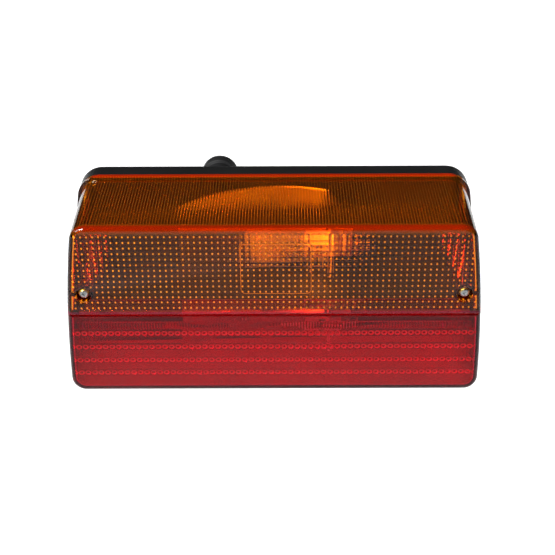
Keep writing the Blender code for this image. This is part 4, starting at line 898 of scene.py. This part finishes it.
def mountingSet(side):
    s = fasteners["bolt"]
    low, high, middle = placeOf(f"mounting_bolt_{side}")
    headHeight, flats = s["headHeight"], s["flats"]
    seat = np.array((middle[0], low[1] + headHeight, middle[2]))
    head = hexBlock(seat, (0, -1, 0), flats, 0.0, headHeight, s["chamfer"], False)
    rod = threaded("boltThread", s["radius"], -0.6 * mm, high[1] - seat[1], s["pitch"], s["depth"], seat,
                   (0, 1, 0), tip=1.4 * mm)
    bolt = addPiece(f"mountingBolt_{side}", carve(head, [rod], "UNION"), brightZinc, 32)
    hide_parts(f"mounting_bolt_{side}")
    low, high, middle = placeOf(f"mounting_washer_{side}")
    r, inner = fasteners["washer"]["round"], fasteners["washer"]["bore"]
    outer, thick = (high[0] - low[0]) / 2, high[1] - low[1]
    profile = [(inner, r), (inner + r, 0), (outer - r, 0), (outer - 0.3 * r, 0.3 * r), (outer, r),
               (outer, thick - r), (outer - 0.3 * r, thick - 0.3 * r), (outer - r, thick),
               (inner + r, thick), (inner, thick - r)]
    ring = lathe("washer", profile, (middle[0], low[1], middle[2]), (0, 1, 0), 96, closedProfile=True)
    washer = addPiece(f"mountingWasher_{side}", ring, brightZinc, 32)
    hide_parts(f"mounting_washer_{side}")
    low, high, middle = placeOf(f"mounting_nut_{side}")
    height = high[1] - low[1]
    base = (middle[0], low[1], middle[2])
    n = fasteners["nut"]
    block = hexBlock(base, (0, 1, 0), flats, 0.0, height, n["chamfer"], True)
    profile = [(0, height + 1 * mm), (n["boreMouth"], height + 0.5 * mm), (n["bore"], height - n["mouth"]),
               (n["bore"], n["mouth"]), (n["boreMouth"], -0.5 * mm), (0, -1 * mm)]
    bore = lathe("nutBore", profile, base, (0, 1, 0), 64)
    nut = addPiece(f"mountingNut_{side}", carve(block, [bore], "DIFFERENCE"), brightZinc, 32)
    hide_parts(f"mounting_nut_{side}")
    for piece in (bolt, washer, nut):
        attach(piece, "housing_body")


for chamber in ("indicator", "stop_tail"):
    curvedReflector(chamber)
for side in ("left", "right"):
    lensScrew(side)
    mountingSet(side)

print("grommet")
grommet = {  # the first four are radii
    "body": 9.3 * mm, "neck": 8.0 * mm, "flange": 10.0 * mm, "bore": 3.6 * mm,
    "collarLength": 8.0 * mm, "collarRound": 2.0 * mm, "mouth": 0.9 * mm, "grooveDepth": 0.3 * mm,
}


def cableGrommet():
    # A turned rubber bush: rounded collar, waist with two soft grooves, neck and inner flange.
    s = grommet
    low, high, middle = placeOf("cable_grommet")
    collar = (high[0] - low[0]) / 2
    end = high[1]
    bore, flange, edge = s["bore"], s["flange"], s["collarRound"]
    profile = [(bore, end - 0.8 * mm), (bore + 0.3 * mm, end - 0.2 * mm), (bore + s["mouth"], end)]
    for angle in np.linspace(0.0, math.pi / 2, 7):
        profile.append((collar - edge + edge * math.sin(angle), end - edge + edge * math.cos(angle)))
    back = end - s["collarLength"]
    for angle in np.linspace(0.0, math.pi / 2, 5):
        profile.append((collar - 0.8 * mm + 0.8 * mm * math.cos(angle), back - 0.8 * mm * math.sin(angle)))
    waist = np.linspace(back - 1.2 * mm, 1.2 * mm, 26)
    for y in waist:
        along = (y - waist[-1]) / (waist[0] - waist[-1])
        dip = s["grooveDepth"] * max(0.0, math.cos(along * 4 * math.pi + math.pi))
        profile.append((s["body"] - dip, y))
    profile += [(s["body"], 0.7 * mm), (s["body"] - 0.25 * mm, 0.35 * mm), (s["body"] - 0.6 * mm, 0.2 * mm),
                (s["neck"], 0.2 * mm), (s["neck"], -2.7 * mm), (flange - 0.15 * mm, -2.7 * mm),
                (flange, -2.85 * mm), (flange - 0.2 * mm, -4.2 * mm), (flange - 0.6 * mm, low[1] + 0.25 * mm),
                (bore + 0.5 * mm, low[1]), (bore, low[1] + 0.4 * mm)]
    mesh = lathe("grommet", profile, (middle[0], 0.0, middle[2]), (0, 1, 0), 128, closedProfile=True)
    piece = addPiece("cableGrommet", mesh, blackRubber, 40)
    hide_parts("cable_grommet")
    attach(piece, "housing_body")


cableGrommet()

print("finishes")
nodeFinish = {  # by the node's own name
    "housing": blackPlastic, "lens_seal": blackRubber,
    "screw_seal_left": blackRubber, "screw_seal_right": blackRubber,
    "thread_insert_left": brassMetal, "thread_insert_right": brassMetal,
    "terminal_strip": brownBoard, "indicator_lead": yellowLead, "stop_lead": redLead,
    "tail_lead": brownLead, "earth_lead": whiteLead,
}
wordFinish = (  # by a word in the node's name, the first that fits, and zinc for the rest
    ("reflector_screw", brightZinc), ("contact_disc", brownBoard), ("socket_end", brownBoard),
    ("bulb_glass", bulbGlass), ("bulb_stem", bulbGlass), ("bulb_cap", brassMetal), ("filament", tungstenWire),
    ("_tab", brassMetal), ("terminal_screw", brassMetal), ("socket", satinZinc), ("bracket", satinZinc),
)
replaced = ("mounting_", "lens_screw", "cable_grommet", "amber_lens", "red_lens")
for nodeName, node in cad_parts.items():
    if nodeName.startswith(replaced) or nodeName.endswith("_reflector"):
        continue
    finish = nodeFinish.get(nodeName)
    if finish is None:
        finish = next((look for word, look in wordFinish if word in nodeName), brightZinc)
    node.data.materials.clear()
    node.data.materials.append(finish)

print("studio")
studio = {
    "floorZ": -1.0,  # far below the lamp, so that no coloured shadow shows
    "floorSize": 20.0,
    "floorShadedNear": (0.5, 0.5, 0.5),  # painted shade: darker in front, where the lens mirrors it
    "floorFar": (0.92, 0.92, 0.92),
    "floorGlow": 0.5,  # behind the lamp
    "sunStrength": 4.5,
    "sunAngle": 20.0,
    "sunFrom": (-1.0, -1.05, 1.4),
    "world": (0.015, 0.015, 0.016),
}
floorMesh = boxMesh((-studio["floorSize"], -studio["floorSize"], studio["floorZ"] - 0.02),
                    (studio["floorSize"], studio["floorSize"], studio["floorZ"]))
floorMaterial, floorTree, floorShader = newMaterial("paleFloor")
floorShader.inputs["Roughness"].default_value = 0.9
floorShader.inputs["Specular IOR Level"].default_value = 0.1
floorShader.inputs["Emission Color"].default_value = (1.0, 1.0, 1.0, 1.0)
floorY = axes(floorTree)[1]
# painted shade: the floor darkens towards the front
shade = mapRange(floorTree, floorY, -1.7, 0.3)
floorColour = mixColour(floorTree, shade, studio["floorShadedNear"], studio["floorFar"])
floorTree.links.new(floorColour, floorShader.inputs["Base Color"])
glow = mapRange(floorTree, floorY, -1.0, 0.5, 0.0, studio["floorGlow"])
floorTree.links.new(glow, floorShader.inputs["Emission Strength"])
floor = bpy.data.objects.new("paleFloor", floorMesh)
floorMesh.materials.append(floorMaterial)
bpy.context.scene.collection.objects.link(floor)

world = bpy.data.worlds.new("studioWorld")
bpy.context.scene.world = world
world.use_nodes = True
world.node_tree.nodes["Background"].inputs["Color"].default_value = (*studio["world"], 1.0)
world.node_tree.nodes["Background"].inputs["Strength"].default_value = 1.0


def aim(target, place, towards):
    target.location = place
    target.rotation_mode = "QUATERNION"
    target.rotation_quaternion = (Vector(towards) - Vector(place)).to_track_quat("-Z", "Y")


sun = bpy.data.lights.new("highSun", "SUN")
sun.energy = studio["sunStrength"]
sun.angle = math.radians(studio["sunAngle"])
sunObject = bpy.data.objects.new("highSun", sun)
aim(sunObject, studio["sunFrom"], (0, 0, 0))
bpy.context.scene.collection.objects.link(sunObject)


def softbox(name, place, towards, size, power):
    light = bpy.data.lights.new(name, "AREA")
    light.shape = "RECTANGLE"
    light.size, light.size_y = size
    light.energy = power
    made = bpy.data.objects.new(name, light)
    aim(made, place, towards)
    bpy.context.scene.collection.objects.link(made)


softbox("leftBox", (-1.15, -0.55, 0.75), (0, -0.04, 0), (0.5, 0.5), 6.0)

view = {  # degrees, and the lens in its own millimetres
    "azimuth": 0.252, "elevation": 28.655, "roll": -0.316, "lens": 72.3,
    "place": (4.349 * mm, -603.85 * mm, 311.61 * mm),
}
azimuth, elevation, roll = (math.radians(view[k]) for k in ("azimuth", "elevation", "roll"))
level = math.cos(elevation)
forward = Vector((-math.sin(azimuth) * level, math.cos(azimuth) * level, -math.sin(elevation)))
rightward = forward.cross(Vector((0, 0, 1))).normalized()
upward = rightward.cross(forward)
camRight = rightward * math.cos(roll) + upward * math.sin(roll)
camUp = upward * math.cos(roll) - rightward * math.sin(roll)
cameraData = bpy.data.cameras.new("studioCamera")
cameraData.lens = view["lens"]
cameraData.sensor_width = 36.0
camera = bpy.data.objects.new("studioCamera", cameraData)
camera.matrix_world = Matrix((
    (camRight.x, camUp.x, -forward.x, view["place"][0]),
    (camRight.y, camUp.y, -forward.y, view["place"][1]),
    (camRight.z, camUp.z, -forward.z, view["place"][2]),
    (0, 0, 0, 1),
))
bpy.context.scene.collection.objects.link(camera)
bpy.context.scene.camera = camera
bpy.context.scene.view_settings.view_transform = "Standard"
